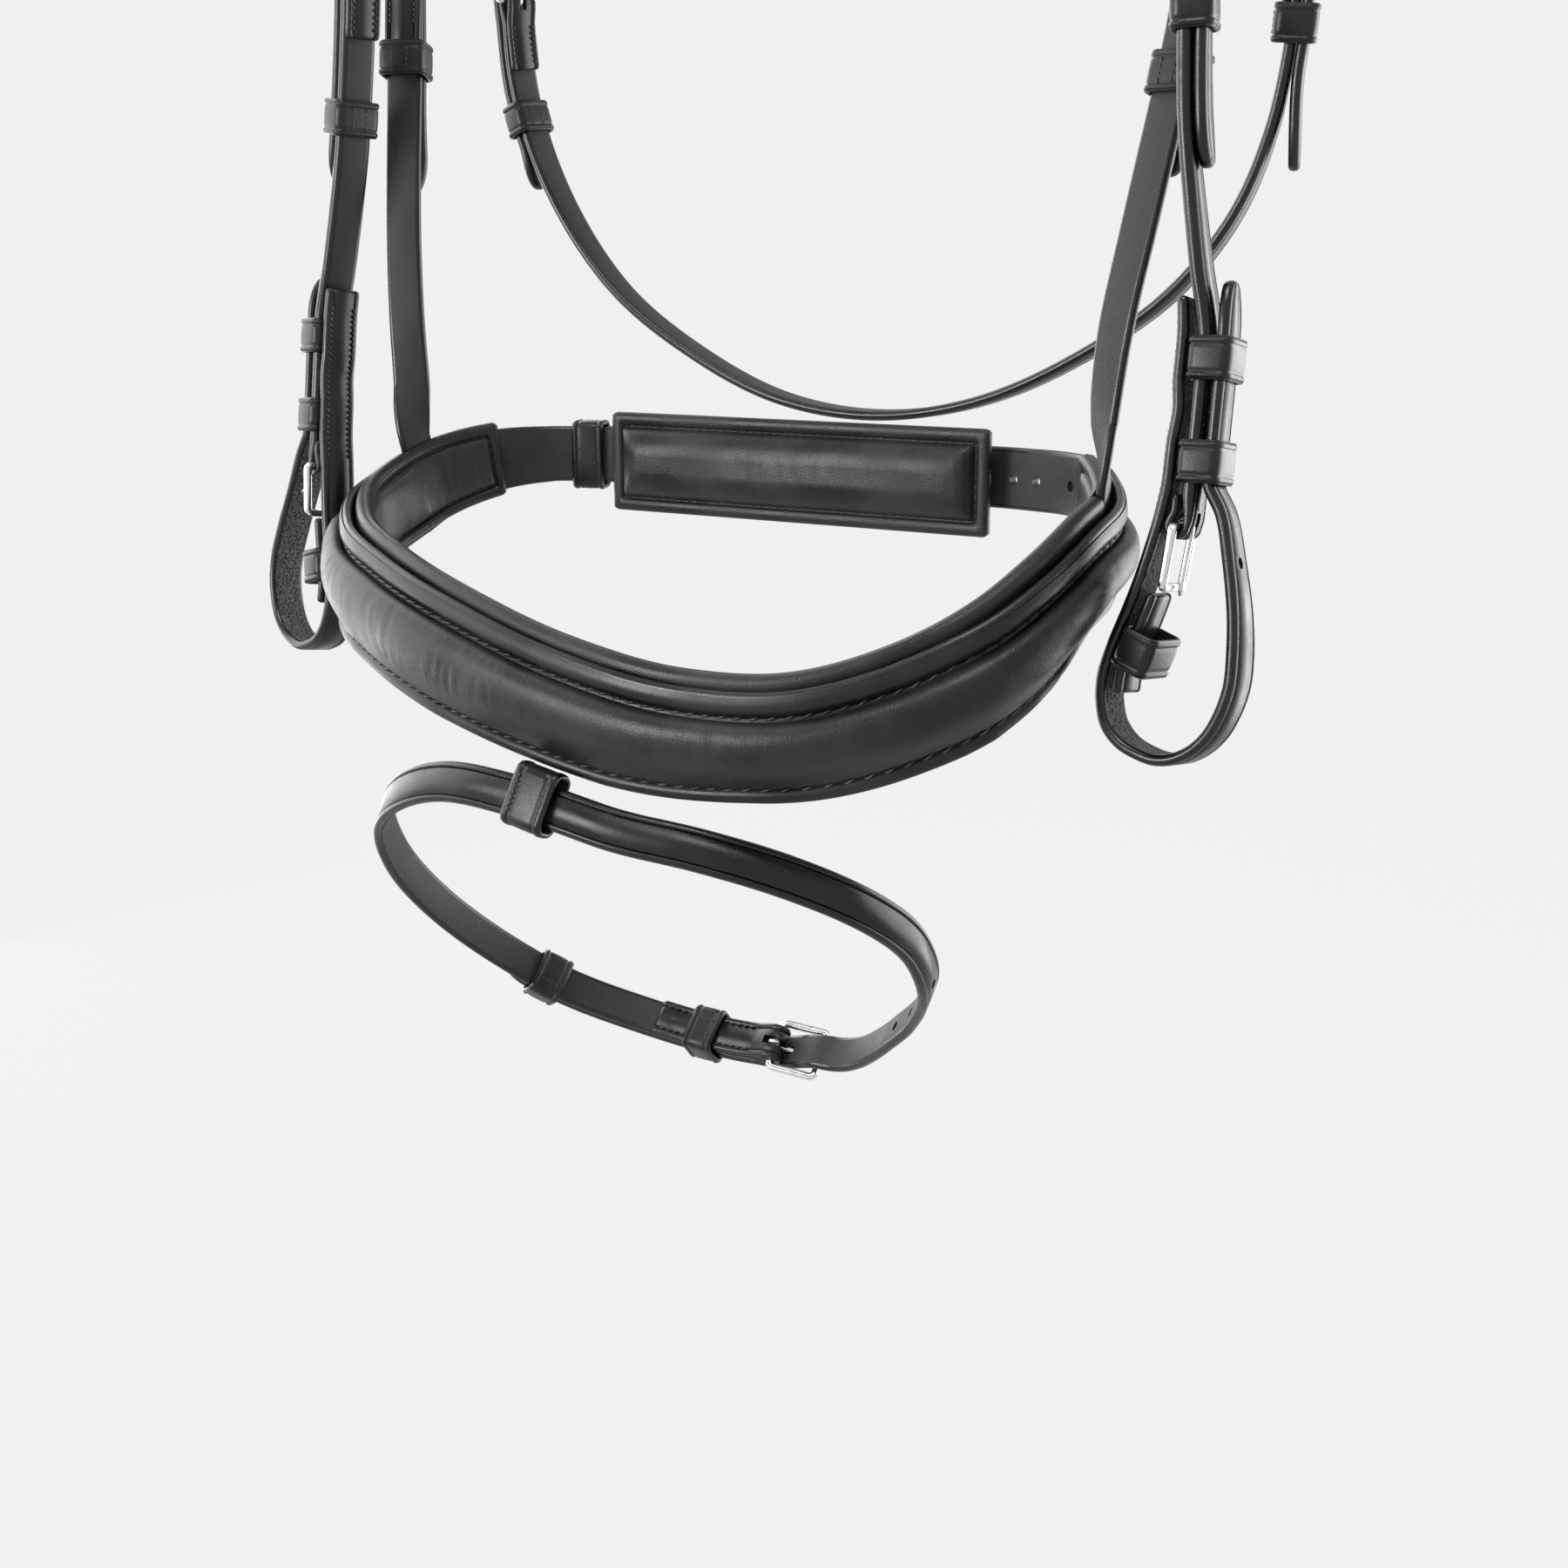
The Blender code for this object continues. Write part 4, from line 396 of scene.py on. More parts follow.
class Line:
    """A smooth line through chosen points, with a frame at each place along it."""

    def __init__(self, points):
        self.frames = []
        self.places = []
        middles = [Vector(point) for point, across in points]
        acrosses = [Vector(across).normalized() for point, across in points]
        tangents = self.tangents(middles)
        samples = []
        for index in range(len(middles) - 1):
            span = (middles[index + 1] - middles[index]).length
            count = max(1, math.ceil(span / FINE_STEP))
            last = index == len(middles) - 2
            for step in range(count + (1 if last else 0)):
                share = step / count
                samples.append((
                    self.hermite(middles, tangents, index, span, share),
                    acrosses[index].lerp(acrosses[index + 1], share),
                ))
        place = 0
        for index, (middle, across) in enumerate(samples):
            before = samples[max(index - 1, 0)][0]
            after = samples[min(index + 1, len(samples) - 1)][0]
            if index:
                place += (middle - before).length
            self.places.append(place)
            self.frames.append(make_frame(middle, after - before, across))

    @staticmethod
    def tangents(middles):
        spans = [(b - a).length for a, b in zip(middles, middles[1:])]
        slopes = [(b - a) / span for a, b, span in zip(middles, middles[1:], spans)]
        inner = [
            (slopes[i] * spans[i + 1] + slopes[i + 1] * spans[i]) / (spans[i] + spans[i + 1])
            for i in range(len(slopes) - 1)
        ]
        return [slopes[0]] + inner + [slopes[-1]]

    @staticmethod
    def hermite(middles, tangents, index, span, share):
        square, cube = share ** 2, share ** 3
        start = middles[index] * (2 * cube - 3 * square + 1)
        end = middles[index + 1] * (3 * square - 2 * cube)
        leave = tangents[index] * span * (cube - 2 * square + share)
        arrive = tangents[index + 1] * span * (cube - square)
        return start + end + leave + arrive

    @property
    def length(self):
        return self.places[-1]

    def at(self, place):
        """The frame at a place, between the two nearest samples."""
        place = min(max(place, 0), self.length)
        after = min(max(bisect.bisect_left(self.places, place), 1), len(self.places) - 1)
        gap = self.places[after] - self.places[after - 1]
        share = (place - self.places[after - 1]) / gap
        near = self.frames[after] if share > 1 / 2 else self.frames[after - 1]
        frame = near.copy()
        frame.translation = self.frames[after - 1].translation.lerp(self.frames[after].translation, share)
        return frame

    def first(self, test):
        """The first place whose point passes the test."""
        return next(place for place, frame in zip(self.places, self.frames) if test(frame.translation))

    def last(self, test):
        """The last place whose point passes the test."""
        pairs = zip(reversed(self.places), reversed(self.frames))
        return next(place for place, frame in pairs if test(frame.translation))

    def guide(self, start, end, across=0, outward=0):
        """Evenly spaced points of a strap that lies along this line."""
        count = max(2, math.ceil((end - start) / GUIDE_STEP))
        frames = [self.at(start + (end - start) * index / count) for index in range(count + 1)]
        return [(moved(f, across=across, outward=outward).translation, f.col[0].xyz) for f in frames]

    def stations(self, start, end, width, extra=()):
        """The fewest places whose straight runs stay within the sag and twist limits."""
        kept = [start]
        first = bisect.bisect_right(self.places, start)
        last = bisect.bisect_left(self.places, end)
        anchor = self.at(start)
        for index in range(first, last):
            place, frame = self.places[index], self.frames[index]
            run = place - kept[-1]
            turn = anchor.col[2].xyz.angle(frame.col[2].xyz)
            twist = abs(frame.col[0].xyz.dot(anchor.col[1].xyz))
            if run * turn / 8 > SAG_LIMIT or width * twist / 4 > TWIST_LIMIT or run > LONGEST_RUN:
                kept.append(self.places[index - 1])
                anchor = self.frames[index - 1]
        if end - kept[-1] < FINE_STEP and len(kept) > 1:
            kept.pop()
        kept.append(end)
        for place in extra:
            near = min(kept, key=lambda other: abs(other - place))
            if start < place < end and abs(near - place) > NEAR_STEP:
                kept.append(place)
        return sorted(kept)


def make_frame(middle, along, across):
    """A right-handed frame: across, outward and along as its columns."""
    along = along.normalized()
    across = (across - along * across.dot(along)).normalized()
    outward = along.cross(across)
    frame = Matrix((across, outward, along)).transposed().to_4x4()
    frame.translation = middle
    return frame


def moved(frame, across=0, outward=0, along=0):
    return frame @ Matrix.Translation((across, outward, along))


def turned(frame):
    """The same frame looking back along the strap, with outward kept."""
    return frame @ Matrix.Rotation(math.pi, 4, "Y")


def routed(shares, side):
    """One point of a head route and its across direction, on the given side."""
    x, y, z = shares[:3]
    point = Vector((side * x * FACE_HALF_WIDTH, y * FACE_DEPTH, z * FACE_DROP))
    return point, Vector((shares[3], side * shares[4], 0))


def shifted(points, side, shift, table):
    """The points moved towards the middle by a share of the shift that depends on height."""
    moves = [shift[side] * interpolated(table, point.z / FACE_DROP) for point, across in points]
    return [(p - Vector((side * move, 0, 0)), a) for (p, a), move in zip(points, moves)]


def twisted(points, side):
    """The cheek's points turned to the front by a share of its twist that depends on height."""
    made = []
    for point, across in points:
        turn = CHEEK_TWIST_DEGREES[side] * interpolated(CHEEK_TWIST_SHARES, point.z / FACE_DROP)
        made.append((point, Matrix.Rotation(math.radians(-turn), 3, "Z") @ across))
    return made


def sagged(points, side):
    """The throatlash's points lowered by a share of its side's sag that depends on height."""
    sags = [THROAT_SAG[side] * interpolated(THROAT_SAG_SHARES, point.z / FACE_DROP) for point, across in points]
    return [(p - Vector((0, 0, sag)), a) for (p, a), sag in zip(points, sags)]


def turned_back(points):
    """The same points travelled the other way, with outward kept."""
    return [(point, -across) for point, across in reversed(points)]


def mirrored(points):
    """The points' mirror image, travelled the other way."""
    return [(Vector((-p.x, p.y, p.z)), Vector((-a.x, a.y, a.z))) for p, a in reversed(points)]


def in_frame(frame, places):
    """Points given as outward and along in a frame, with its across direction."""
    across = frame.col[0].xyz
    return [(frame @ Vector((0, outward, along)), across) for outward, along in places]


def add_object(name, data, finish, collection=None):
    made = bpy.data.objects.new(name if collection else name + SHOWN, data)
    (collection or PARTS).objects.link(made)
    for one in finish or ():
        data.materials.append(one)
    return made


def loft(name, sections, zones, finish, closed=False, collection=None):
    """One closed body through sections with equally many corners, each side with its own finish."""
    mesh = bpy.data.meshes.new(name)
    shape = bmesh.new()
    sheet = shape.loops.layers.uv.new("sheet")
    rings = [[shape.verts.new(corner) for corner in section] for section in sections]
    count = len(zones)
    widest = max(sections, key=lambda section: (section[0] - section[count // 2]).length)
    girths = [0]
    for index in range(count):
        girths.append(girths[-1] + (widest[(index + 1) % count] - widest[index]).length)
    places = [0]
    for section, following in zip(sections, sections[1:] + sections[:1]):
        places.append(places[-1] + (following[0] - section[0]).length)
    last = len(rings) if closed else len(rings) - 1
    for step in range(last):
        ring, following = rings[step], rings[(step + 1) % len(rings)]
        for index, zone in enumerate(zones):
            after = (index + 1) % count
            face = shape.faces.new((ring[index], ring[after], following[after], following[index]))
            face.material_index = zone
            face.smooth = True
            corners = ((index, step), (index + 1, step), (index + 1, step + 1), (index, step + 1))
            for loop, (side, along) in zip(face.loops, corners):
                loop[sheet].uv = (girths[side], places[along])
    if not closed:
        for ring in (rings[0][::-1], rings[-1]):
            shape.faces.new(ring).material_index = EDGE
    bmesh.ops.recalc_face_normals(shape, faces=shape.faces)
    if shape.calc_volume(signed=True) < 0:
        bmesh.ops.reverse_faces(shape, faces=shape.faces)
    shape.to_mesh(mesh)
    shape.free()
    return add_object(name, mesh, finish, collection)


def interpolated(table, place):
    """The value between the table's two nearest places, level past its ends."""
    if place <= table[0][0]:
        return table[0][1]
    for (start, low), (end, high) in zip(table, table[1:]):
        if place <= end:
            return low + (high - low) * (place - start) / (end - start)
    return table[-1][1]


def tip_share(distance, tip_length):
    """How much of its width a strap keeps this near its pointed end."""
    if distance >= tip_length:
        return 1
    bulge = math.sqrt(max(0, 1 - (1 - distance / tip_length) ** 2))
    return TIP_FLAT_SHARE + (1 - TIP_FLAT_SHARE) * bulge


def strap(name, line, width_at, thickness, finish, tips=(0, 0), skives=(), hung=False, span=None, relief_at=None):
    """A strap along a line, pointed at either end and skived thinner where it folds.

    A hung strap lies below its line's edge, and any other strap is centred on its line.
    """
    start, end = span or (0, line.length)
    reach = thickness / 2
    extra = [place for place, share in skives]
    extra += [start + tips[0] * share for share in TIP_STATION_SHARES if tips[0]]
    extra += [end - tips[1] * share for share in TIP_STATION_SHARES if tips[1]]
    extra += [start + reach * share for share in END_STATION_SHARES]
    extra += [end - reach * share for share in END_STATION_SHARES]
    sections = []
    widest = max(width_at(line.at(start + (end - start) * share).translation) for share in WIDTH_CHECK_SHARES)
    for place in line.stations(start, end, widest, extra):
        frame = line.at(place)
        width = width_at(frame.translation)
        ending = end_share(min(place - start, end - place), reach)
        half = width / 2 * min(tip_share(place - start, tips[0]), tip_share(end - place, tips[1]))
        half -= min(reach, half / 2) * (1 - ending)
        middle = -width / 2 if hung else 0
        thick = thickness * ending * (interpolated(skives, place) if skives else 1)
        relief = relief_at(place, width) if relief_at else None
        points, zones = strap_outline(middle - half, middle + half, -thick / 2, thick / 2, relief)
        sections.append([frame @ Vector((across, outward, 0)) for across, outward in points])
    return loft(name, sections, zones, finish)


def plain_width(point):
    return STRAP_WIDTH


def cushion(name, line, start, end, edges_at, base, bulge, taper, finish, rim=0, sink=0, fullness=None,
            crest=None):
    """A stuffed panel along a line, rounded across, wrinkled and drawn in at both ends.

    A rim is the thickness of a flat border that keeps the panel's full width, and a sink is how far
    the panel's edges reach behind its base.
    """
    count = math.ceil((end - start) / CUSHION_RUN)
    places = [start + (end - start) * step / count for step in range(count + 1)]
    ends = [start + taper * share for share in CUSHION_END_SHARES]
    places = sorted(places + ends + [start + end - place for place in ends])
    sections = []
    seed = len(name)
    for place in places:
        frame = line.at(place)
        left, right = edges_at(frame.translation)
        near_end = min(place - start, end - place, taper) / taper
        fill = CUSHION_END_SHARE + (1 - CUSHION_END_SHARE) * math.sqrt(1 - (1 - near_end) ** 2)
        fill *= fullness(frame.translation) if fullness else 1
        middle, half = (left + right) / 2, (right - left) / 2
        border = [(left, 0), (left, rim)] if rim else [(left + half / 5, -sink)]
        narrowing = RIMMED_PANEL_SHARE if rim else (fill + 1) / 2
        panel = []
        for across, rise in cushion_shares(crest):
            x = middle + half * across * narrowing
            depth = wrinkle(place, x, seed) * rise * math.copysign(1, bulge)
            panel.append((x, rim + bulge * rise * fill - depth))
        outline = border + panel + [(left + right - across, rise) for across, rise in reversed(border)]
        sections.append([frame @ Vector((across, base + rise, 0)) for across, rise in outline])
    zones = [FACE] * (len(outline) - 1) + [BACK]
    return loft(name, sections, zones, finish)


def fold_stack(thickness):
    """Where the strap and its folded return lie either side of the heel bar."""
    return (thickness + GAP) / 2, -(SKIVED_THICKNESS + GAP) / 2


def stack_low(thickness):
    """How far inward of the strap's middle its folded return reaches."""
    main, back = fold_stack(thickness)
    return back - SKIVED_THICKNESS / 2 - main


def fold_radius():
    return WIRE_RADIUS + GAP + SKIVED_THICKNESS / 2


def fold_points(heel, thickness):
    """Round the heel bar from the return to the strap, in the heel's frame."""
    radius = fold_radius()
    places = []
    for degrees in range(-90, 91, FOLD_STEP_DEGREES):
        angle = math.radians(degrees)
        places.append((radius * math.sin(angle), radius * math.cos(angle)))
    places.append((fold_stack(thickness)[0], -SKIVE_LENGTH))
    return in_frame(heel, places)


def return_depth(thickness):
    """How far inward of the strap's middle its folded return's middle lies."""
    main, back = fold_stack(thickness)
    return back - main


def fold_skives(thickness, return_length):
    """Skived thin from the return's end to the heel bar, then back to full thickness."""
    skived = SKIVED_THICKNESS / thickness
    fold_length = return_length + math.pi * fold_radius()
    return [(fold_length, skived), (fold_length + SKIVE_LENGTH, 1)]


def flipped_skives(skives, length):
    return [(length - place, share) for place, share in reversed(skives)]


def heel_frame(frame, thickness):
    """A buckle's frame at a strap's end: the heel bar is its x axis, the free bar lies at +z."""
    return moved(frame, outward=-fold_stack(thickness)[0])


def billet_rise():
    """How far outward a billet's middle lies where it crosses the heel bar's fold."""
    return fold_radius() + SKIVED_THICKNESS / 2 + OVERLAY_GAP + STRAP_THICKNESS / 2


def billet_lift():
    """How far outward the free bar stands, so that the billet passes under it."""
    return STRAP_THICKNESS / 2 + OVERLAY_GAP + WIRE_RADIUS


def overlay_offset(thickness, billet_thickness=STRAP_THICKNESS):
    """How far outward of a strap's middle the billet over it lies."""
    return thickness / 2 + OVERLAY_GAP + billet_thickness / 2


def billet_points(heel):
    """A billet's way under the free bar and over the heel, in the heel's frame."""
    rise = billet_rise()
    places = [
        (0, BUCKLE_LENGTH + BUCKLE_APPROACH), (0, BUCKLE_LENGTH),
        (rise * MIDWAY_RISE_SHARE, BUCKLE_LENGTH / 2), (rise, WIRE_RADIUS),
    ]
    return in_frame(turned(heel), [(outward, -along) for outward, along in places])


def wire(name, points, radius, finish, closed, resolution, collection=None):
    """A round wire through points, as a curve with filled ends."""
    data = bpy.data.curves.new(name, "CURVE")
    data.dimensions = "3D"
    data.bevel_depth = radius
    data.bevel_resolution = resolution
    data.use_fill_caps = True
    data.twist_mode = "MINIMUM"
    spline = data.splines.new("POLY")
    spline.points.add(len(points) - 1)
    for place, point in zip(spline.points, points):
        place.co = (*point, 1)
    spline.use_cyclic_u = closed
    return add_object(name, data, finish, collection)


def meshed(curve):
    """The curve as a hidden mesh with welded caps, for cutting."""
    bpy.context.view_layer.update()
    evaluated = curve.evaluated_get(bpy.context.evaluated_depsgraph_get())
    mesh = bpy.data.meshes.new_from_object(evaluated)
    shape = bmesh.new()
    shape.from_mesh(mesh)
    bmesh.ops.remove_doubles(shape, verts=shape.verts, dist=WELD_DISTANCE)
    bmesh.ops.recalc_face_normals(shape, faces=shape.faces)
    shape.to_mesh(mesh)
    shape.free()
    name, place = curve.name, curve.matrix_world.copy()
    bpy.data.objects.remove(curve)
    made = add_object(name, mesh, None, CUTTERS)
    made.matrix_world = place
    return made


def buckle_points(strap_width, lift):
    """The wire's closed path: heel bar at z = 0 and free bar at the buckle's length."""
    half = strap_width / 2 + BUCKLE_SIDE_GAP + WIRE_RADIUS
    corners = (
        (half - BUCKLE_CORNER, BUCKLE_CORNER, -90), (half - BUCKLE_CORNER, BUCKLE_LENGTH - BUCKLE_CORNER, 0),
        (BUCKLE_CORNER - half, BUCKLE_LENGTH - BUCKLE_CORNER, 90), (BUCKLE_CORNER - half, BUCKLE_CORNER, 180),
    )
    points = []
    for across, along, first in corners:
        for degrees in range(first, first + 91, CORNER_STEP_DEGREES):
            angle = math.radians(degrees)
            z = along + BUCKLE_CORNER * math.sin(angle)
            points.append(Vector((across + BUCKLE_CORNER * math.cos(angle), lift * z / BUCKLE_LENGTH, z)))
    return points


def tongue_hook():
    """The hook's radius: the tongue's middle line round the heel bar."""
    return WIRE_RADIUS + GAP + TONGUE_RADIUS


def tongue_shaft(lift):
    """The tongue's straight part, from over the heel bar to past the free bar."""
    hook = tongue_hook()
    rest = lift + hook
    tip = BUCKLE_LENGTH + TONGUE_OVERHANG
    return [Vector((0, hook, 0)), Vector((0, rest, BUCKLE_LENGTH - WIRE_RADIUS)), Vector((0, rest, tip))]


def tongue_points(lift):
    """The tongue's path: hooked round the heel bar, then out to rest on the free bar."""
    hook = tongue_hook()
    points = []
    for degrees in range(HOOK_START_DEGREES, 90, -HOOK_STEP_DEGREES):
        angle = math.radians(degrees)
        points.append(Vector((0, hook * math.sin(angle), hook * math.cos(angle))))
    return points + tongue_shaft(lift)


def add_buckle(name, heel, strap_width, lift):
    """The buckle's frame and its tongue. The tongue's origin is on the heel bar."""
    frame = rod(name + "_buckle", buckle_points(strap_width, lift), WIRE_RADIUS, WIRE_RADIUS, STEEL, True)
    frame.matrix_world = heel
    tongue = rod(name + "_tongue", tongue_points(lift), TONGUE_RADIUS, TONGUE_RADIUS, STEEL, False)
    tongue.matrix_world = heel


def cutter_box(name, frame, size):
    """A hidden box for cutting, centred on the frame."""
    mesh = bpy.data.meshes.new(name)
    shape = bmesh.new()
    bmesh.ops.create_cube(shape, size=1)
    bmesh.ops.scale(shape, vec=size, verts=shape.verts)
    shape.to_mesh(mesh)
    shape.free()
    made = add_object(name, mesh, None, CUTTERS)
    made.matrix_world = frame
    return made


def cut(target, cutter, operation="DIFFERENCE"):
    modifier = target.modifiers.new(cutter.name, "BOOLEAN")
    modifier.operation = operation
    modifier.object = cutter
    modifier.solver = "EXACT"
    cutter.hide_render = True
    cutter.display_type = "WIRE"


def punch(target, number, frame, thickness):
    """A round hole through a strap, along the frame's outward direction."""
    name = f"{target.name}_hole_{number}"
    mesh = bpy.data.meshes.new(name)
    shape = bmesh.new()
    bmesh.ops.create_cone(shape, cap_ends=True, segments=PUNCH_SIDES, radius1=HOLE_DIAMETER / 2,
                          radius2=HOLE_DIAMETER / 2, depth=PUNCH_REACH * thickness,
                          matrix=Matrix.Rotation(math.pi / 2, 4, "X"))
    shape.to_mesh(mesh)
    shape.free()
    cutter = add_object(name, mesh, None, CUTTERS)
    cutter.matrix_world = frame
    cut(target, cutter)


def cut_tongue_slot(target, heel, name="slot"):
    """Opens the fold round the heel bar where the tongue hooks on."""
    reach = fold_radius() + SKIVED_THICKNESS
    back = tongue_hook() + TONGUE_RADIUS + RUNNING_GAP
    size = (2 * (TONGUE_RADIUS + RUNNING_GAP), 3 * reach, reach + back)
    cut(target, cutter_box(f"{target.name}_{name}", moved(heel, along=(reach - back) / 2), size))


def cut_tongue_hole(target, heel, name="tongue_hole"):
    """Opens the billet's hole to the slot that the slanting tongue needs."""
    points = tongue_shaft(billet_lift())
    hole = wire(f"{target.name}_{name}", points, TONGUE_RADIUS + TONGUE_HOLE_GAP, None, False, 1, CUTTERS)
    hole.matrix_world = heel
    cut(target, meshed(hole))


def keeper(name, frame, width, low, high, height=KEEPER_HEIGHT, wall=KEEPER_WALL, slack=GAP):
    """A leather band round the straps that lie between low and high of the frame, seamed inside."""
    half = width / 2 + SOFT_GAP + wall / 2
    low, high = low - slack - wall / 2, high + slack + wall / 2
    made = band(name, frame, -half, half, low, high, height, wall, LEATHER)
    rows = []
    for across in (-KEEPER_SEAM_OFFSET, KEEPER_SEAM_OFFSET):
        seam = moved(frame, across=across, outward=low - wall / 2) @ Matrix.Rotation(math.pi, 4, "Z")
        rows.append((lambda place, seam=seam: moved(seam, along=place), CREASE_INSET - height / 2, height / 2 - CREASE_INSET))
    stitches(name, rows, FINE_STITCH_PITCH)
    return made


def side_name(side):
    return "left_" if side > 0 else "right_"


def folded_ends(axis, thickness, return_lengths, end_folds=True):
    """A strap line whose ends fold round heel bars, with its skives and heel frames."""
    upper = heel_frame(turned(axis.at(0)), thickness)
    back = return_depth(thickness)
    near = [min(SKIVE_LENGTH, length / 2) for length in return_lengths]
    points = axis.guide(near[0], return_lengths[0], outward=back)[::-1]
    points += [(p, -a) for p, a in fold_points(upper, thickness)]
    heels = [upper]
    skives = fold_skives(thickness, return_lengths[0])
    if not end_folds:
        line = Line(points + axis.guide(2 * SKIVE_LENGTH, axis.length))
        return line, skives, heels
    lower = heel_frame(axis.at(axis.length), thickness)
    points += axis.guide(2 * SKIVE_LENGTH, axis.length - 2 * SKIVE_LENGTH)
    points += reversed(fold_points(lower, thickness))
    points += axis.guide(axis.length - return_lengths[1], axis.length - near[1], outward=back)[::-1]
    line = Line(points)
    skives = skives + flipped_skives(fold_skives(thickness, return_lengths[1]), line.length)
    return line, skives, heels + [lower]


def reversed_line(line):
    """The same line travelled the other way, with outward kept."""
    return Line(turned_back(line.guide(0, line.length)))


def cheek_end_frame(side):
    """The bit end's frame at the top of the first keeper, looking down the cheek."""
    middle, across = shifted([routed(CHEEK_END_SHARES, side)], side, END_SHIFT, CHEEK_TWIST_SHARES)[0]
    frame = make_frame(middle, Vector((0, -CHEEK_END_LEAN_SHARE, -1)), across)
    return frame @ Matrix.Rotation(math.radians(CHEEK_TWIST_DEGREES[side]), 4, "Z")


def cheek_axis(side):
    """The cheekpiece's middle line from the upper heel bar to the lower one."""
    drops = (0, KEEPER_DROPS[0], KEEPER_DROPS[1], CHEEK_HEEL_DROP)
    end = in_frame(cheek_end_frame(side), [(0, drop) for drop in drops])
    route = [routed(shares, side) for shares in CHEEK_ROUTE_SHARES]
    route = shifted(route, side, CHEEK_SHIFT, CHEEK_SHIFT_SHARES)
    return Line(twisted(shifted(route, side, END_SHIFT, CHEEK_TWIST_SHARES), side) + end)


def add_cheek(side):
    """Cheekpiece, both its buckles and its upper keeper. Returns its axis and upper heel."""
    prefix = side_name(side)
    axis = cheek_axis(side)
    line, skives, heels = folded_ends(axis, CHEEK_THICKNESS, (RETURN_LENGTH, SHORT_RETURN_LENGTH))
    made = strap(prefix + "cheekpiece", line, plain_width, CHEEK_THICKNESS, LEATHER, skives=skives)
    stitches(prefix + "cheekpiece", chape_rows(axis, CHEEK_THICKNESS, SKIVE_LENGTH, RETURN_LENGTH - CHAPE_STITCH_INSET),
             FINE_STITCH_PITCH)
    cut_tongue_slot(made, heels[0], "upper_slot")
    cut_tongue_slot(made, heels[1], "lower_slot")
    add_buckle(prefix + "cheek_upper", heels[0], STRAP_WIDTH, billet_lift())
    add_buckle(prefix + "cheek_lower", heels[1], STRAP_WIDTH, OPEN_BUCKLE_LIFT)
    add_billet_keeper(prefix + "cheek_upper_keeper", axis, CHEEK_KEEPER_PLACES[side], CHEEK_THICKNESS)
    return axis, heels[0]


def add_billet_keeper(name, axis, place, thickness, over_return=False):
    """A sliding keeper round a strap and the billet over it."""
    low = stack_low(thickness) if over_return else -thickness / 2
    keeper(name, axis.at(place), STRAP_WIDTH, low, overlay_offset(thickness) + STRAP_THICKNESS / 2,
           slack=SOFT_GAP)


def add_bit_end(side):
    """Bit loop, guard and the three lower keepers at the cheekpiece's end."""
    prefix = side_name(side)
    end = cheek_end_frame(side)
    wall = KEEPER_WALL + 2 * GAP
    inner = -(CHEEK_THICKNESS / 2 + wall + BIT_LOOP_THICKNESS / 2 + GAP)
    outer = CHEEK_THICKNESS / 2 + BIT_LOOP_SLACK + BIT_LOOP_THICKNESS / 2
    pinched = inner + (wall - SOFT_GAP) / 2
    half_keeper = KEEPER_HEIGHT / 2
    upper, lower = KEEPER_DROPS
    points = in_frame(end, [
        (LOOP_TOP_SHARES[0] * LOOP_HALF_WIDTH, LOOP_TOP_SHARES[1] * LOOP_DROP),
        (inner, upper - half_keeper), (inner, upper), (inner, upper + half_keeper),
        (pinched, (upper + lower) / 2), (inner, lower - half_keeper),
    ])
    for n, d in LOOP_INNER_SHARES + LOOP_OUTER_SHARES:
        spread = LOOP_INNER_SPREAD_SHARE[side] if n < 0 else LOOP_OUTER_SPREAD_SHARE[side]
        free = max(0, (d * LOOP_DROP - CHEEK_HEEL_DROP) / (LOOP_DROP - CHEEK_HEEL_DROP))
        open_share = min(1, 2 * free)
        half_width = LOOP_HALF_WIDTH * (1 + (spread - 1) * open_share)
        twist = math.radians(LOOP_TWIST_DEGREES[side] * open_share)
        place = (n * half_width + LOOP_SWING[side] * free, d * LOOP_DROP)
        points += in_frame(end @ Matrix.Rotation(twist, 4, "Z"), [place])
    points += in_frame(end, [
        (outer, lower + half_keeper), (outer, lower - half_keeper), (outer, upper), (outer, 0),
        (LOOP_TIP_SHARES[0] * LOOP_HALF_WIDTH, LOOP_TIP_SHARES[1] * LOOP_DROP),
    ])
    line = Line(points)
    grain_out = Line([(point, -across) for point, across in points])
    loop = strap(prefix + "bit_loop", grain_out, plain_width, BIT_LOOP_THICKNESS, ROUGH_LEATHER, tips=(0, TIP_LENGTH))
    side_inset = STRAP_WIDTH / 2 - CHAPE_STITCH_INSET
    low = -BIT_LOOP_THICKNESS / 2
    stitches(prefix + "bit_loop", [line_row(line, LOOP_SEAM_START, LOOP_SEAM_END, sign * side_inset, low, True)
                                   for sign in (-1, 1)], FINE_STITCH_PITCH)
    for number, drop in enumerate(LOOP_HOLE_DROPS, start=1):
        local = end.inverted()
        place = line.last(lambda point: (local @ point).z > drop)
        punch(loop, number, line.at(place), BIT_LOOP_THICKNESS)
    for number, drop in enumerate(KEEPER_DROPS, start=1):
        keeper(f"{prefix}cheek_keeper_{number}", moved(end, along=drop), STRAP_WIDTH,
               -CHEEK_THICKNESS / 2, outer + BIT_LOOP_THICKNESS / 2)
    add_guard(prefix, end, line)


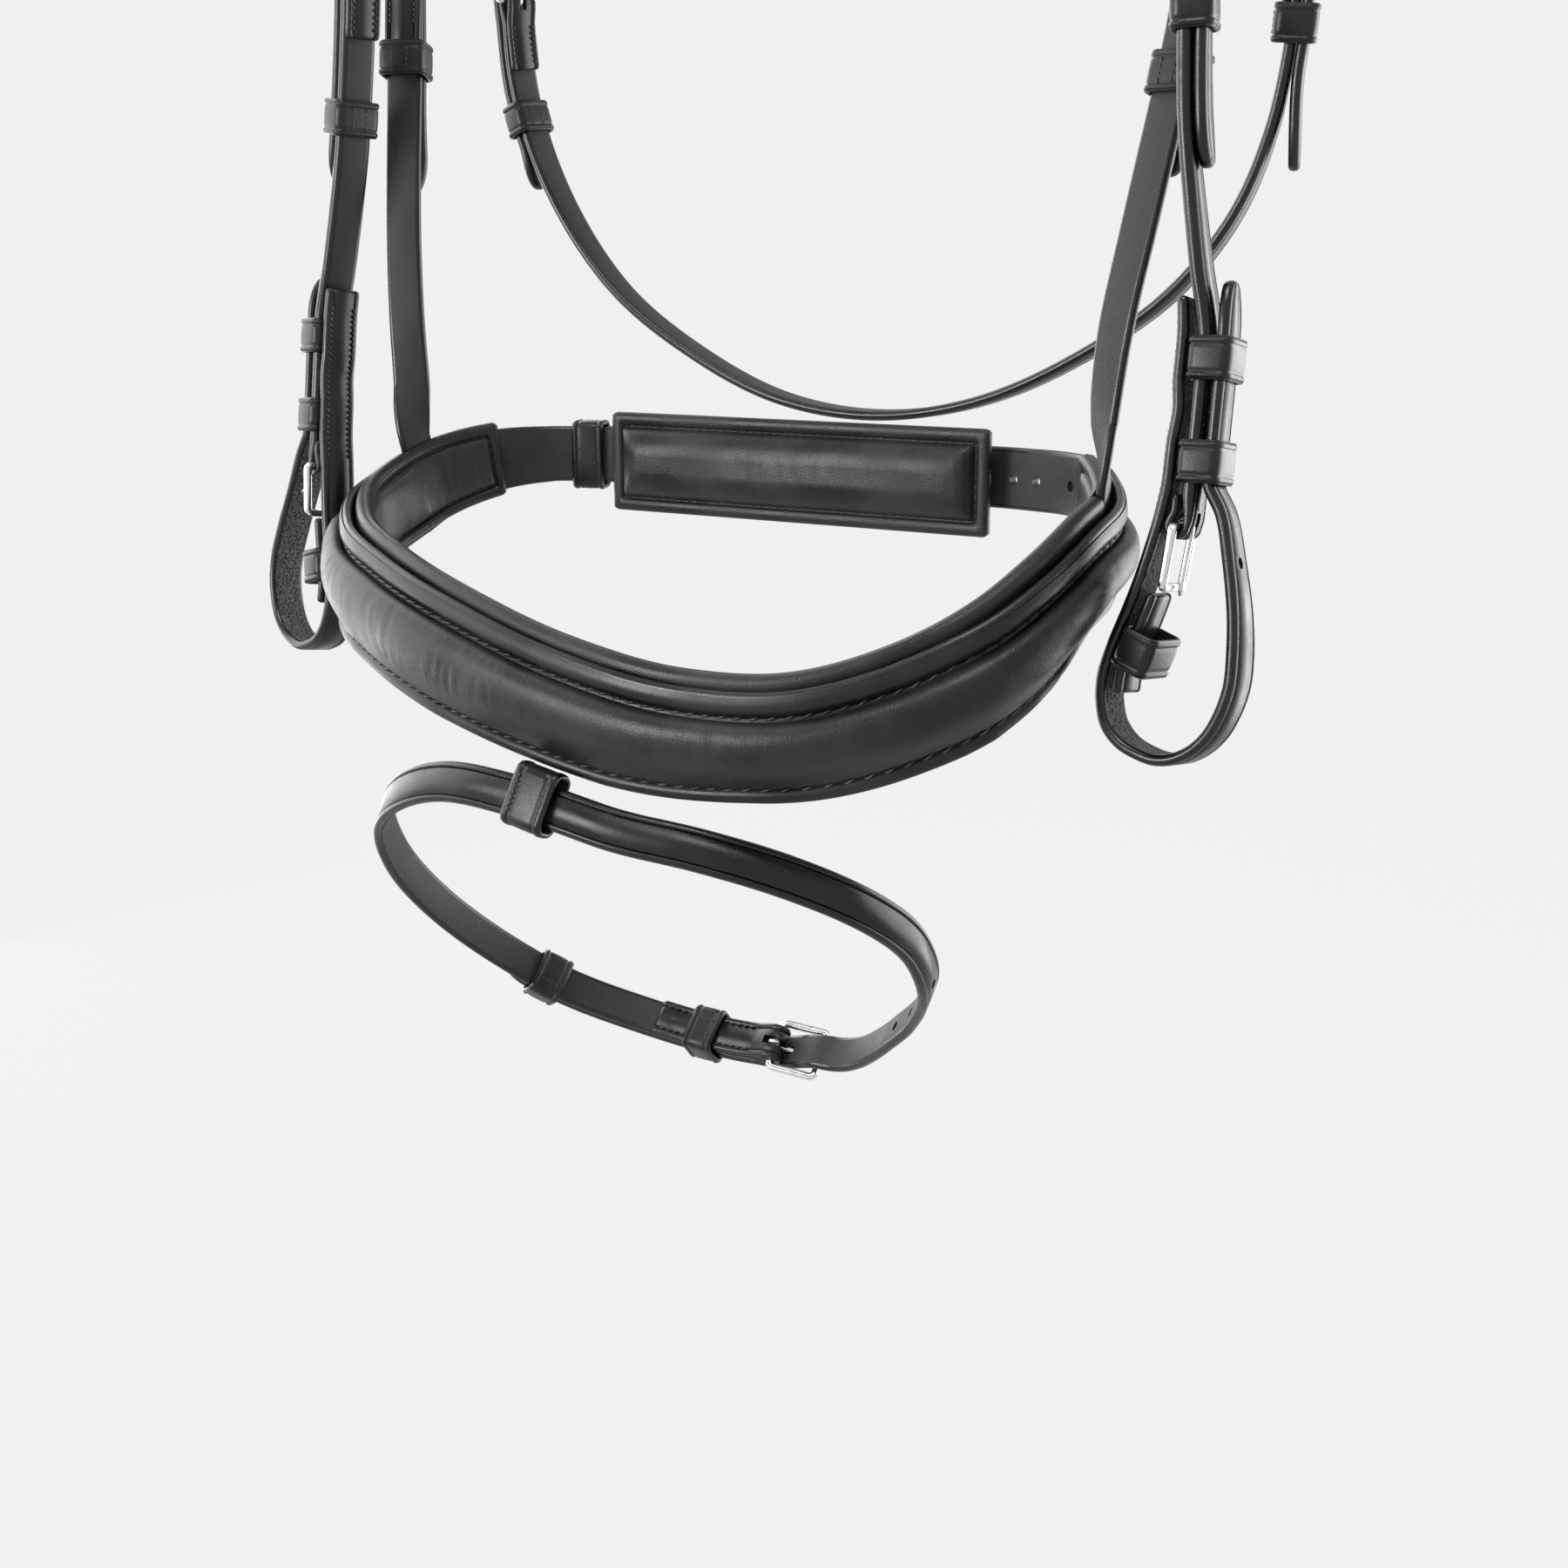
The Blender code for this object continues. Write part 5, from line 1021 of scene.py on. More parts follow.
def add_guard(prefix, end, line):
    """The guard under the open buckle and the empty keeper round it."""
    local = end.inverted()
    start = line.first(lambda point: (local @ point).z > GUARD_START_DROP)
    offset = BIT_LOOP_THICKNESS / 2 + KEEPER_WALL + GAP + GUARD_BOW_GAP + GUARD_THICKNESS / 2
    guard_line = Line(line.guide(start, start + GUARD_LENGTH, outward=offset))
    strap(prefix + "cheek_guard", guard_line, plain_width, GUARD_THICKNESS, LEATHER)
    middle = guard_line.at(guard_line.length * GUARD_KEEPER_SHARE)
    keeper(prefix + "cheek_keeper_3", middle, STRAP_WIDTH, -GUARD_THICKNESS / 2,
           GUARD_KEEPER_HOLLOW - GUARD_THICKNESS / 2)


def crown_width(point):
    return CROWN_WIDTH * interpolated(CROWN_WIDTH_SHARES, abs(point.x) / FACE_HALF_WIDTH)


def add_headpiece(axes, heels):
    """The crown with a cheek billet at either end. Returns its line."""
    halves = {}
    for side in (1, -1):
        half = [routed(shares, side) for shares in HEAD_ROUTE_SHARES]
        half = shifted(half, side, CHEEK_SHIFT, CHEEK_SHIFT_SHARES) + billet_points(heels[side])
        offset = overlay_offset(CHEEK_THICKNESS)
        halves[side] = half + axes[side].guide(SKIVE_LENGTH, CHEEK_BILLET_END, outward=offset)
    top = CROWN_PAD_THICKNESS + GAP + STRAP_THICKNESS / 2
    centre = (Vector((0, CROWN_DEPTH_SHARE * FACE_DEPTH, top)), Vector((0, 1, 0)))
    line = Line(turned_back(halves[-1]) + [centre] + halves[1])
    made = strap("headpiece", line, crown_width, STRAP_THICKNESS, LEATHER, tips=(TIP_LENGTH, TIP_LENGTH))
    for side in (1, -1):
        cut_tongue_hole(made, heels[side], side_name(side) + "tongue_hole")
    return line


def add_crown_pad(line):
    """The padded underside of the crown, drawn in along its edges."""
    middle = line.length / 2
    half_width = CROWN_PAD_WIDTH / 2
    cushion("crown_pad", line, middle - CROWN_PAD_LENGTH / 2, middle + CROWN_PAD_LENGTH / 2,
            lambda point: (-half_width, half_width), -(STRAP_THICKNESS / 2 + GAP), -CROWN_PAD_THICKNESS,
            CROWN_PAD_WIDTH / 2, PADDING)


def add_hung_billet(name, side, crown, shift, route, strap_axis, thickness, keeper_place, tail_length):
    """A billet sewn under the crown, buckled to the strap below it. Returns the heel frame.

    Past its keeper the billet's tail is straight and springs a little outward.
    """
    heel = heel_frame(turned(strap_axis.at(0)), thickness)
    middle = crown.length / 2
    under = -(STRAP_THICKNESS + OVERLAY_GAP)
    sewn = crown.guide(middle + side * SEWN_START, middle + side * SEWN_END, across=shift, outward=under)
    points = [(point, side * across) for point, across in sewn]
    points += route
    points += billet_points(heel)
    leave = keeper_place + KEEPER_HEIGHT
    offset = overlay_offset(thickness)
    points += strap_axis.guide(SKIVE_LENGTH, leave, outward=offset)
    tip = moved(strap_axis.at(leave), outward=offset + TAIL_SPRING, along=tail_length - leave)
    points.append((tip.translation, tip.col[0].xyz))
    made = strap(name, Line(points), plain_width, STRAP_THICKNESS, LEATHER, tips=(0, TIP_LENGTH))
    cut_tongue_hole(made, heel)
    return heel


def add_throatlash(crown):
    """The throatlash under the jaw, buckled to its two billets."""
    halves = []
    for side in (1, -1):
        half = [routed(shares, side) for shares in THROAT_ROUTE_SHARES]
        halves.append(sagged(shifted(half, side, THROAT_SHIFT, THROAT_SHIFT_SHARES), side))
    axis = Line(halves[0] + [routed(THROAT_BOTTOM_SHARES, 1)] + turned_back(halves[1]))
    line, skives, heels = folded_ends(axis, STRAP_THICKNESS, (RETURN_LENGTH, RETURN_LENGTH))
    made = strap("throatlash", line, plain_width, STRAP_THICKNESS, LEATHER, skives=skives)
    rows = chape_rows(axis, STRAP_THICKNESS, SKIVE_LENGTH, chape_end(THROAT_KEEPER_PLACES[1]))
    rows += chape_rows(axis, STRAP_THICKNESS, axis.length - chape_end(THROAT_KEEPER_PLACES[-1]),
                       axis.length - SKIVE_LENGTH)
    stitches("throatlash", rows, FINE_STITCH_PITCH)
    cut_tongue_slot(made, heels[0], "left_slot")
    cut_tongue_slot(made, heels[1], "right_slot")
    for side in (1, -1):
        prefix = side_name(side)
        down = axis if side > 0 else reversed_line(axis)
        route = [routed(shares, side) for shares in THROAT_BILLET_ROUTE_SHARES]
        route = shifted(route, side, THROAT_SHIFT, THROAT_SHIFT_SHARES)
        heel = add_hung_billet(prefix + "throatlash_billet", side, crown, THROAT_BILLET_SHIFT, route, down,
                               STRAP_THICKNESS, THROAT_KEEPER_PLACES[side], THROAT_BILLET_END)
        add_buckle(prefix + "throatlash", heel, STRAP_WIDTH, billet_lift())
        add_billet_keeper(prefix + "throatlash_keeper", down, THROAT_KEEPER_PLACES[side], STRAP_THICKNESS,
                          over_return=THROAT_KEEPER_PLACES[side] < RETURN_LENGTH + KEEPER_HEIGHT)


def nose_point(shares):
    """A point of the noseband's top edge, where the lining's middle lies, and its across."""
    x, y, sag, lean = shares
    outward = Vector((x, y, 0)).normalized()
    point = Vector((x * NOSE_HALF_WIDTH, y * NOSE_HALF_DEPTH, sag * NOSE_SAG - NOSE_TOP_DROP))
    return point, Vector((0, 0, 1)) - outward * lean


def noseband_offset():
    """How far outward of the lining's middle the outer strap's middle lies."""
    return LINING_THICKNESS / 2 + LAYER_GAP + NOSEBAND_THICKNESS / 2


def noseband_height(point):
    height = NOSEBAND_HEIGHT * interpolated(NOSEBAND_HEIGHT_SHARES, point.y / NOSE_HALF_DEPTH)
    return height + extra_drop(point)


def extra_drop(point):
    """How much lower the strap's lower edge hangs in front than its solid's."""
    front = interpolated(NOSE_EXTRA_DEPTH_SHARES, point.y / NOSE_HALF_DEPTH)
    return NOSE_EXTRA_DROP * front * interpolated(NOSE_EXTRA_SHARES, point.x / NOSE_HALF_WIDTH)


def lining_height(point):
    return LINING_HEIGHT * interpolated(LINING_HEIGHT_SHARES, point.y / NOSE_HALF_DEPTH)


def add_ring_strap(name, ring, reference, edge, thickness, return_length, tail, width_at, hung, relief_at=None):
    """A strap that runs round a ring, through its own buckle and over its own start.

    The reference gives how far across and outward of the ring's line the strap's line lies,
    and the edge is how far its line lies from the buckle's middle.
    """
    across, outward = reference
    heel = heel_frame(turned(moved(ring.at(0), across=across - edge, outward=outward)), thickness)
    edge_heel = moved(heel, across=-edge)
    over = outward + overlay_offset(thickness, thickness)
    back = outward + return_depth(thickness)
    points = ring.guide(SKIVE_LENGTH, return_length, across=across, outward=back)[::-1]
    points += [(p, -a) for p, a in fold_points(edge_heel, thickness)]
    points += ring.guide(2 * SKIVE_LENGTH, ring.length, across=across, outward=outward)
    points += billet_points(edge_heel)
    points += ring.guide(SKIVE_LENGTH, tail, across=across, outward=over)
    skives = fold_skives(thickness, return_length)
    made = strap(name, Line(points), width_at, thickness, LEATHER, tips=(0, TIP_LENGTH), skives=skives, hung=hung,
                 relief_at=relief_at)
    cut_tongue_slot(made, heel)
    cut_tongue_hole(made, heel)
    return made, heel


def add_noseband():
    """Outer strap, buckle and keepers, lining with two pockets, and the padded roll."""
    ring = Line([nose_point(NOSE_START_SHARES)] + [nose_point(shares) for shares in NOSE_RING_SHARES])
    offset = noseband_offset()
    edge = NOSEBAND_TAIL_HEIGHT / 2
    made, heel = add_ring_strap("noseband_strap", ring, (-LINING_STEP, offset), edge, NOSEBAND_THICKNESS,
                                RETURN_LENGTH, NOSEBAND_TAIL, noseband_height, True, nose_relief)
    stitches("noseband_strap", nose_rows(ring), NOSE_STITCH_PITCH, NOSE_THREAD_RADIUS)
    add_buckle("noseband", heel, NOSEBAND_TAIL_HEIGHT, billet_lift())
    for number in range(NOSEBAND_HOLES):
        place = ring.length - NOSEBAND_HOLE_START + number * HOLE_PITCH
        frame = moved(ring.at(place), across=-LINING_STEP - edge, outward=offset)
        punch(made, number + 1, frame, NOSEBAND_THICKNESS)
    names = ("noseband_fixed_keeper", "noseband_sliding_keeper")
    for name, place in zip(names, NOSEBAND_KEEPER_PLACES):
        frame = moved(ring.at(place), across=-LINING_STEP - edge, outward=offset)
        low = stack_low(NOSEBAND_THICKNESS) if place < RETURN_LENGTH + KEEPER_HEIGHT else -NOSEBAND_THICKNESS / 2
        high = overlay_offset(NOSEBAND_THICKNESS, NOSEBAND_THICKNESS) + NOSEBAND_THICKNESS / 2
        keeper(name, frame, NOSEBAND_TAIL_HEIGHT, low, high, slack=NOSEBAND_KEEPER_SLACK)
    add_lining(ring)
    add_roll(ring)
    return ring


def nose_relief(place, width):
    """The noseband's padded rim, its two sewn grooves and its flange, fading where it narrows."""
    full = min(1, max(0, (width - NOSE_PLAIN_HEIGHT) / (NOSE_FULL_HEIGHT - NOSE_PLAIN_HEIGHT)))
    relief = []
    for distance, rise, crease in NOSE_RIM_PROFILE:
        relief.append((-distance / width, rise * full - crease * (1 - full)))
    for distance, rise, crease in NOSE_FLANGE_PROFILE:
        relief.append((distance / width - 1, rise * full - crease * (1 - full)))
    return relief


def nose_rows(ring):
    """The stitch rows above and below the roll."""
    depth = NOSE_ROW_DEPTH_SHARE * NOSE_HALF_DEPTH
    start, end = ring.first(lambda point: point.y < depth), ring.last(lambda point: point.y < depth)
    face = noseband_offset() + NOSEBAND_THICKNESS / 2 - NOSE_SEAM_DEPTH / 2

    def upper(place):
        return moved(ring.at(place), across=-LINING_STEP - NOSE_UPPER_SEAM, outward=face)

    def lower(place):
        frame = ring.at(place)
        drop = -LINING_STEP - noseband_height(frame.translation) + NOSE_LOWER_SEAM
        return moved(frame, across=drop, outward=face)

    return [(upper, start, end), (lower, start, end)]


NOSE_PLAIN_HEIGHT = 0.0235
NOSE_FULL_HEIGHT = 0.030
NOSE_ROW_DEPTH_SHARE = 0.45
NOSE_UPPER_SEAM = 0.0075
NOSE_LOWER_SEAM = 0.0045
NOSE_STITCH_PITCH = 0.0047
NOSE_THREAD_RADIUS = 0.00042
NOSE_RIM_PROFILE = (
    (0.0012, 0.00040, 0.0), (0.0018, 0.00065, 0.00028), (0.0023, 0.00085, 0.0), (0.0034, 0.0011, 0.0),
    (0.0050, 0.0011, 0.0), (0.0061, 0.00075, 0.0), (0.0069, 0.00010, 0.0), (0.0075, -0.00050, 0.0),
    (0.0082, 0.0, 0.0),
)
NOSE_FLANGE_PROFILE = (
    (0.0058, 0.0, 0.0), (0.0050, -0.00020, 0.0), (0.0045, -0.00050, 0.0), (0.0039, 0.00005, 0.0),
    (0.0033, 0.00045, 0.0), (0.0025, 0.00062, 0.0), (0.0018, 0.00060, 0.00028), (0.0012, 0.00040, 0.0),
)


def pillow(name, line, span, edges_at, faces, base, finish, notches=()):
    """A sewn pad along a line: a flat rim, a sewn groove and a stuffed panel on all four sides.

    The two faces are tables of how high each side stands by its distance from the nearest edge, and
    base gives where height zero lies and which way it rises. A notch is a span where the back is
    hollowed to its floor down to its depth from the first edge.
    """
    start, end = span
    front, back = faces
    zero, way = base
    count = math.ceil((end - start) / PILLOW_RUN)
    places = [start + (end - start) * step / count for step in range(1, count)]
    for distance, height in front:
        places += [start + distance, end - distance]
    for low, high, depth, floor in notches:
        places += [low, high, low - NEAR_STEP, high + NEAR_STEP]
    insides = [distance for distance, height in front]
    sections = []
    seed = len(name)
    seam = max(distance for distance, height in front[:PILLOW_SEAM_ROW + 1])
    for place in sorted(places):
        frame = line.at(place)
        right, left = edges_at(frame.translation)
        near_end = min(place - start, end - place)
        corner = max(0, 1 - near_end / PILLOW_CORNER)
        trim = PILLOW_CORNER * (1 - math.sqrt(1 - corner ** 2))
        right, left = right + trim, left - trim
        middle = (left - right) / 2
        sides = [min(distance, middle * 0.9) for distance in insides]
        sides += [sides[-1] + (middle - sides[-1]) * share for share in PILLOW_MIDDLE_SHARES]
        notch = next(((depth, floor) for low, high, depth, floor in notches if low <= place <= high), None)
        outline = []
        for table in (front, back):
            row = []
            for distance in sides:
                row.append((left - distance, interpolated(table, min(distance, near_end)), distance))
            mirror = [(right + left - across, height, distance) for across, height, distance in row[::-1]]
            row = row + mirror
            outline.append(row[::-1] if table is back else row)
        points = []
        for number, row in enumerate(outline):
            for across, height, distance in row[:-1] if number == 0 else row[1:-1]:
                if number == 0 and min(distance, near_end) > seam:
                    height -= wrinkle(place, across, seed)
                    height += PILLOW_SWELL * noise.noise(Vector((place, across, seed)) / PILLOW_SWELL_SIZE)
                if notch and left - across < notch[0]:
                    height = max(height, notch[1] + (NEAR_STEP if number == 0 else 0))
                points.append(frame @ Vector((across, zero + way * height, 0)))
            if number == 0:
                across, height, distance = row[-1]
                points.append(frame @ Vector((across, zero + way * height, 0)))
        sections.append(points)
    return loft(name, sections, [FACE] * len(sections[0]), finish)


def add_lining(ring):
    """The lining with a pocket on either side that its hanger is sewn into."""
    end_depth = LINING_END_DEPTH_SHARE * NOSE_HALF_DEPTH
    span = (ring.first(lambda point: point.y < end_depth), ring.last(lambda point: point.y < end_depth))
    floor = LINING_THICKNESS - HANGER_POCKET_FLOOR
    notches = []
    for side in (-1, 1):
        middle = hanger_place(ring, side)
        half = STRAP_WIDTH / 2 + POCKET_SIDE_GAP
        notches.append((middle - half, middle + half, HANGER_DEPTH + GAP, floor))
    pillow("noseband_lining", ring, span, lambda point: (-lining_height(point), 0), (LINING_FRONT, LINING_BACK),
           (LINING_THICKNESS / 2, -1), PADDING, notches)
    inset, depth = LINING_FRONT[PILLOW_SEAM_ROW]

    def lower(place):
        frame = ring.at(place)
        return moved(frame, across=inset - lining_height(frame.translation), outward=LINING_THICKNESS / 2 - depth) \
            @ Matrix.Rotation(math.pi, 4, "Z")

    rows = [line_row(ring, span[0] + inset, span[1] - inset, -inset, LINING_THICKNESS / 2 - depth, True)]
    rows.append((lower, span[0] + inset, span[1] - inset))
    for place in (span[0] + inset, span[1] - inset):
        frame = ring.at(place)
        height = lining_height(frame.translation)
        turned_row = moved(frame, outward=LINING_THICKNESS / 2 - depth)
        turned_row = turned_row @ Matrix.Rotation(math.pi, 4, "Z") @ Matrix.Rotation(math.pi / 2, 4, "Y")
        rows.append((lambda along, seam=turned_row: moved(seam, along=along), inset, height - inset))
    stitches("noseband_lining", rows, PAD_STITCH_PITCH, NOSE_THREAD_RADIUS)


PILLOW_RUN = 0.0016
PILLOW_CORNER = 0.0025
PILLOW_MIDDLE_SHARES = (0.35, 0.7)
PILLOW_SEAM_ROW = 6
PILLOW_SWELL = 0.0006
PILLOW_SWELL_SIZE = 0.018
LINING_FRONT = (
    (0.00015, 0.0034), (0.0005, 0.0046), (0.0012, 0.0055), (0.0024, 0.0059), (0.0036, 0.0057), (0.0042, 0.0050),
    (0.0046, 0.0041), (0.0050, 0.0050), (0.0056, 0.0059), (0.0070, 0.0065), (0.0095, 0.0069), (0.0125, 0.0070),
)
LINING_BACK = (
    (0.00015, 0.0026), (0.0005, 0.0014), (0.0012, 0.0006), (0.0022, 0.0002), (0.0034, 0.0), (0.0036, 0.0),
)
CHIN_FRONT = (
    (0.00015, 0.0024), (0.0004, 0.0032), (0.0010, 0.0037), (0.0022, 0.0040), (0.0038, 0.0039), (0.0046, 0.0034),
    (0.0051, 0.0024), (0.0056, 0.0036), (0.0066, 0.0054), (0.0084, 0.0069), (0.0110, 0.0080), (0.0140, 0.0086),
)
CHIN_BACK = ((0.00015, 0.0015), (0.0004, 0.0008), (0.0010, 0.0002), (0.0022, 0.0))


def hanger_place(ring, side):
    """Where the ring's front part passes the hangers' depth on the given side."""
    depth = HANGER_DEPTH_SHARE * NOSE_HALF_DEPTH
    find = ring.last if side > 0 else ring.first
    return find(lambda point: point.y < depth)


def add_roll(ring):
    """The stuffed roll between the noseband's two rows of stitching."""
    end_depth = ROLL_END_DEPTH_SHARE * NOSE_HALF_DEPTH
    base = noseband_offset() + NOSEBAND_THICKNESS / 2 + LAYER_GAP

    def edges(point):
        return ROLL_BOTTOM_STEP - LINING_STEP - noseband_height(point), -ROLL_TOP_STEP - LINING_STEP

    def fullness(point):
        return interpolated(ROLL_FULLNESS, point.y / NOSE_HALF_DEPTH) if point.x > 0 else 1

    left_depth = ROLL_LEFT_END_DEPTH_SHARE * NOSE_HALF_DEPTH
    cushion("noseband_roll", ring, ring.first(lambda point: point.y < end_depth),
            ring.last(lambda point: point.y < left_depth), edges, base, ROLL_BULGE, ROLL_TAPER, PADDING,
            sink=LAYER_GAP, fullness=fullness, crest=ROLL_CREST)


def add_hanger(side, ring, crown):
    """Noseband hanger with its buckle and keeper, and the billet that carries it."""
    prefix = side_name(side)
    band = ring.at(hanger_place(ring, side))
    pocket = moved(band, outward=LINING_THICKNESS / 2 - HANGER_INSET - HANGER_THICKNESS / 2)
    ends = [
        (moved(pocket, across=across).translation, band.col[2].xyz)
        for across in (SKIVE_LENGTH / 3, -HANGER_DEPTH / 2, -HANGER_DEPTH)
    ]
    axis = Line([routed(shares, side) for shares in HANGER_ROUTE_SHARES] + ends)
    line, skives, heels = folded_ends(axis, HANGER_THICKNESS, (RETURN_LENGTH, 0), end_folds=False)
    made = strap(prefix + "noseband_hanger", line, plain_width, HANGER_THICKNESS, LEATHER, skives=skives)
    rows = chape_rows(axis, HANGER_THICKNESS, SKIVE_LENGTH, chape_end(HANGER_KEEPER_PLACES[side]))
    stitches(prefix + "noseband_hanger", rows, FINE_STITCH_PITCH)
    cut_tongue_slot(made, heels[0])
    route = [routed(shares, side) for shares in NOSE_BILLET_ROUTE_SHARES]
    heel = add_hung_billet(prefix + "noseband_billet", side, crown, NOSE_BILLET_SHIFT, route, axis,
                           HANGER_THICKNESS, HANGER_KEEPER_PLACES[side], HANGER_BILLET_END)
    add_buckle(prefix + "hanger", heel, STRAP_WIDTH, billet_lift())
    add_billet_keeper(prefix + "hanger_keeper", axis, HANGER_KEEPER_PLACES[side], HANGER_THICKNESS,
                      over_return=HANGER_KEEPER_PLACES[side] < RETURN_LENGTH + KEEPER_HEIGHT)


def add_chin_pad(ring):
    """The stuffed pad behind the chin, hung on the rear strap by two loops."""
    strap_drop = LINING_STEP + NOSEBAND_TAIL_HEIGHT / 2
    start = ring.at(0)
    face = noseband_offset() - NOSEBAND_THICKNESS / 2
    middle = moved(start, across=-strap_drop - CHIN_PAD_LOWERED, outward=face - CHIN_PAD_GAP)
    frame = Matrix.Translation((CHIN_PAD_MIDDLE, middle.translation.y, middle.translation.z))
    half = CHIN_PAD_LENGTH / 2
    along_x = Line([
        (frame @ Vector((-half, 0, 0)), Vector((0, 0, 1))), (frame @ Vector((half, 0, 0)), Vector((0, 0, 1))),
    ])
    edges = (-CHIN_PAD_HEIGHT / 2, CHIN_PAD_HEIGHT / 2)
    pillow("chin_pad", along_x, (0, along_x.length), lambda point: edges, (CHIN_FRONT, CHIN_BACK), (0, 1), PADDING)
    inset, depth = CHIN_FRONT[PILLOW_SEAM_ROW]
    rows = []
    side = CHIN_PAD_HEIGHT / 2 - inset
    for across in (-side, side):
        rows.append(line_row(along_x, inset, along_x.length - inset, across, depth))
    for place in (inset, along_x.length - inset):
        turned_row = moved(along_x.at(place), outward=depth) @ Matrix.Rotation(math.pi / 2, 4, "Y")
        rows.append((lambda along, seam=turned_row: moved(seam, along=along), -side, side))
    stitches("chin_pad", rows, PAD_STITCH_PITCH, NOSE_THREAD_RADIUS)
    high = CHIN_PAD_GAP + NOSEBAND_THICKNESS / 2 + NOSEBAND_THICKNESS / 2
    high += overlay_offset(NOSEBAND_THICKNESS, NOSEBAND_THICKNESS)
    low = GAP + CHIN_LOOP_WALL + CHIN_LOOP_SLACK
    for side in (1, -1):
        place = moved(along_x.at(half + side * CHIN_LOOP_PLACE), across=CHIN_PAD_LOWERED)
        place = place @ Matrix.Rotation(math.pi, 4, "Z")
        keeper(side_name(side) + "chin_pad_loop", place, NOSEBAND_TAIL_HEIGHT, low, high,
               height=CHIN_LOOP_LENGTH, wall=CHIN_LOOP_WALL, slack=CHIN_LOOP_SLACK)


def flash_point(shares):
    """A point of the flash strap's middle line and its across direction."""
    x, y, drop = shares
    point = Vector((
        x * FLASH_HALF_WIDTH, y * FLASH_HALF_DEPTH - FLASH_MIDDLE_DEPTH, drop * FLASH_DROP - FLASH_TOP_DROP,
    ))
    front, back = Vector(FLASH_FRONT_ACROSS_SHARES), Vector(FLASH_BACK_ACROSS_SHARES)
    return point, front.lerp(back, min(1, -2 * min(drop, 0)))


def add_flash(ring):
    """Flash strap, its buckle and keepers, and the loop that lets them swing under the noseband."""
    flash = Line([flash_point(FLASH_START_SHARES)] + [flash_point(shares) for shares in FLASH_RING_SHARES])
    made, heel = add_ring_strap("flash_strap", flash, (0, 0), 0, FLASH_THICKNESS, FLASH_RETURN_LENGTH,
                                FLASH_TAIL, plain_width, False)
    rows = chape_rows(flash, FLASH_THICKNESS, SKIVE_LENGTH, FLASH_RETURN_LENGTH - CHAPE_STITCH_INSET)
    stitches("flash_strap", rows, STITCH_PITCH)
    add_buckle("flash", heel, STRAP_WIDTH, billet_lift())
    for number in range(FLASH_HOLES):
        frame = flash.at(flash.length - FLASH_HOLE_START - number * HOLE_PITCH)
        punch(made, number + 1, frame, FLASH_THICKNESS)
    names = ("flash_fixed_keeper", "flash_sliding_keeper")
    for name, place in zip(names, FLASH_KEEPER_PLACES):
        over_return = place < FLASH_RETURN_LENGTH
        low = stack_low(FLASH_THICKNESS) if over_return else -FLASH_THICKNESS / 2
        high = overlay_offset(FLASH_THICKNESS, FLASH_THICKNESS) + FLASH_THICKNESS / 2
        keeper(name, flash.at(place), STRAP_WIDTH, low, high, slack=FLASH_KEEPER_SLACK)
    add_flash_loop(flash, ring)


def add_flash_loop(flash, ring):
    """A loop round the flash strap with a tab up to the noseband, stitched in two rows."""
    at_x = FLASH_LOOP_AT_SHARE * FLASH_HALF_WIDTH
    band_frame = ring.at(ring.first(lambda point: point.x > at_x and point.y < 0))
    through = flash.at(flash.first(lambda point: point.x > at_x and point.y < 0))
    across = through.col[0].xyz
    frame = make_frame(through.translation, band_frame.col[2].xyz + through.col[2].xyz, across)
    drop = -LINING_STEP - noseband_height(band_frame.translation)
    bottom = moved(band_frame, across=drop, outward=noseband_offset())
    seat = frame.inverted() @ bottom.translation
    wall = FLASH_LOOP_WALL
    half = STRAP_WIDTH / 2 + FLASH_LOOP_SLACK + wall / 2
    high = FLASH_THICKNESS / 2 + FLASH_LOOP_SLACK + wall / 2
    top = max(half, seat.x - FLASH_SWING_GAP - wall / 2)
    band("flash_loop", frame, -half, top, -high, high, FLASH_LOOP_LENGTH, wall, LEATHER, FLASH_LOOP_CORNER)
    rows = []
    for along in (-FLASH_LOOP_SEAM, FLASH_LOOP_SEAM):
        seam = frame @ Matrix.Translation((0, high + wall / 2, along)) @ Matrix.Rotation(math.pi / 2, 4, "Y")
        rows.append((lambda place, seam=seam: moved(seam, along=place), -half + KEEPER_CORNER, top - KEEPER_CORNER))
    stitches("flash_loop", rows, FLASH_LOOP_PITCH)


def add_browband():
    """The band across the brow, looped round the three billets at either end."""
    across = Vector(BROWBAND_ACROSS_SHARES)
    half = [(routed((*shares, 0, 0), 1)[0], across) for shares in BROWBAND_ROUTE_SHARES]
    x, y, z = BROWBAND_FRONT_SHARES
    front = (Vector((x * FACE_HALF_WIDTH, y * FACE_DEPTH, z * FACE_DROP)), Vector((0, 0, -1)))
    line = Line(half + [front] + mirrored(half))
    strap("browband", line, lambda point: BROWBAND_WIDTH, BROWBAND_THICKNESS, LEATHER)


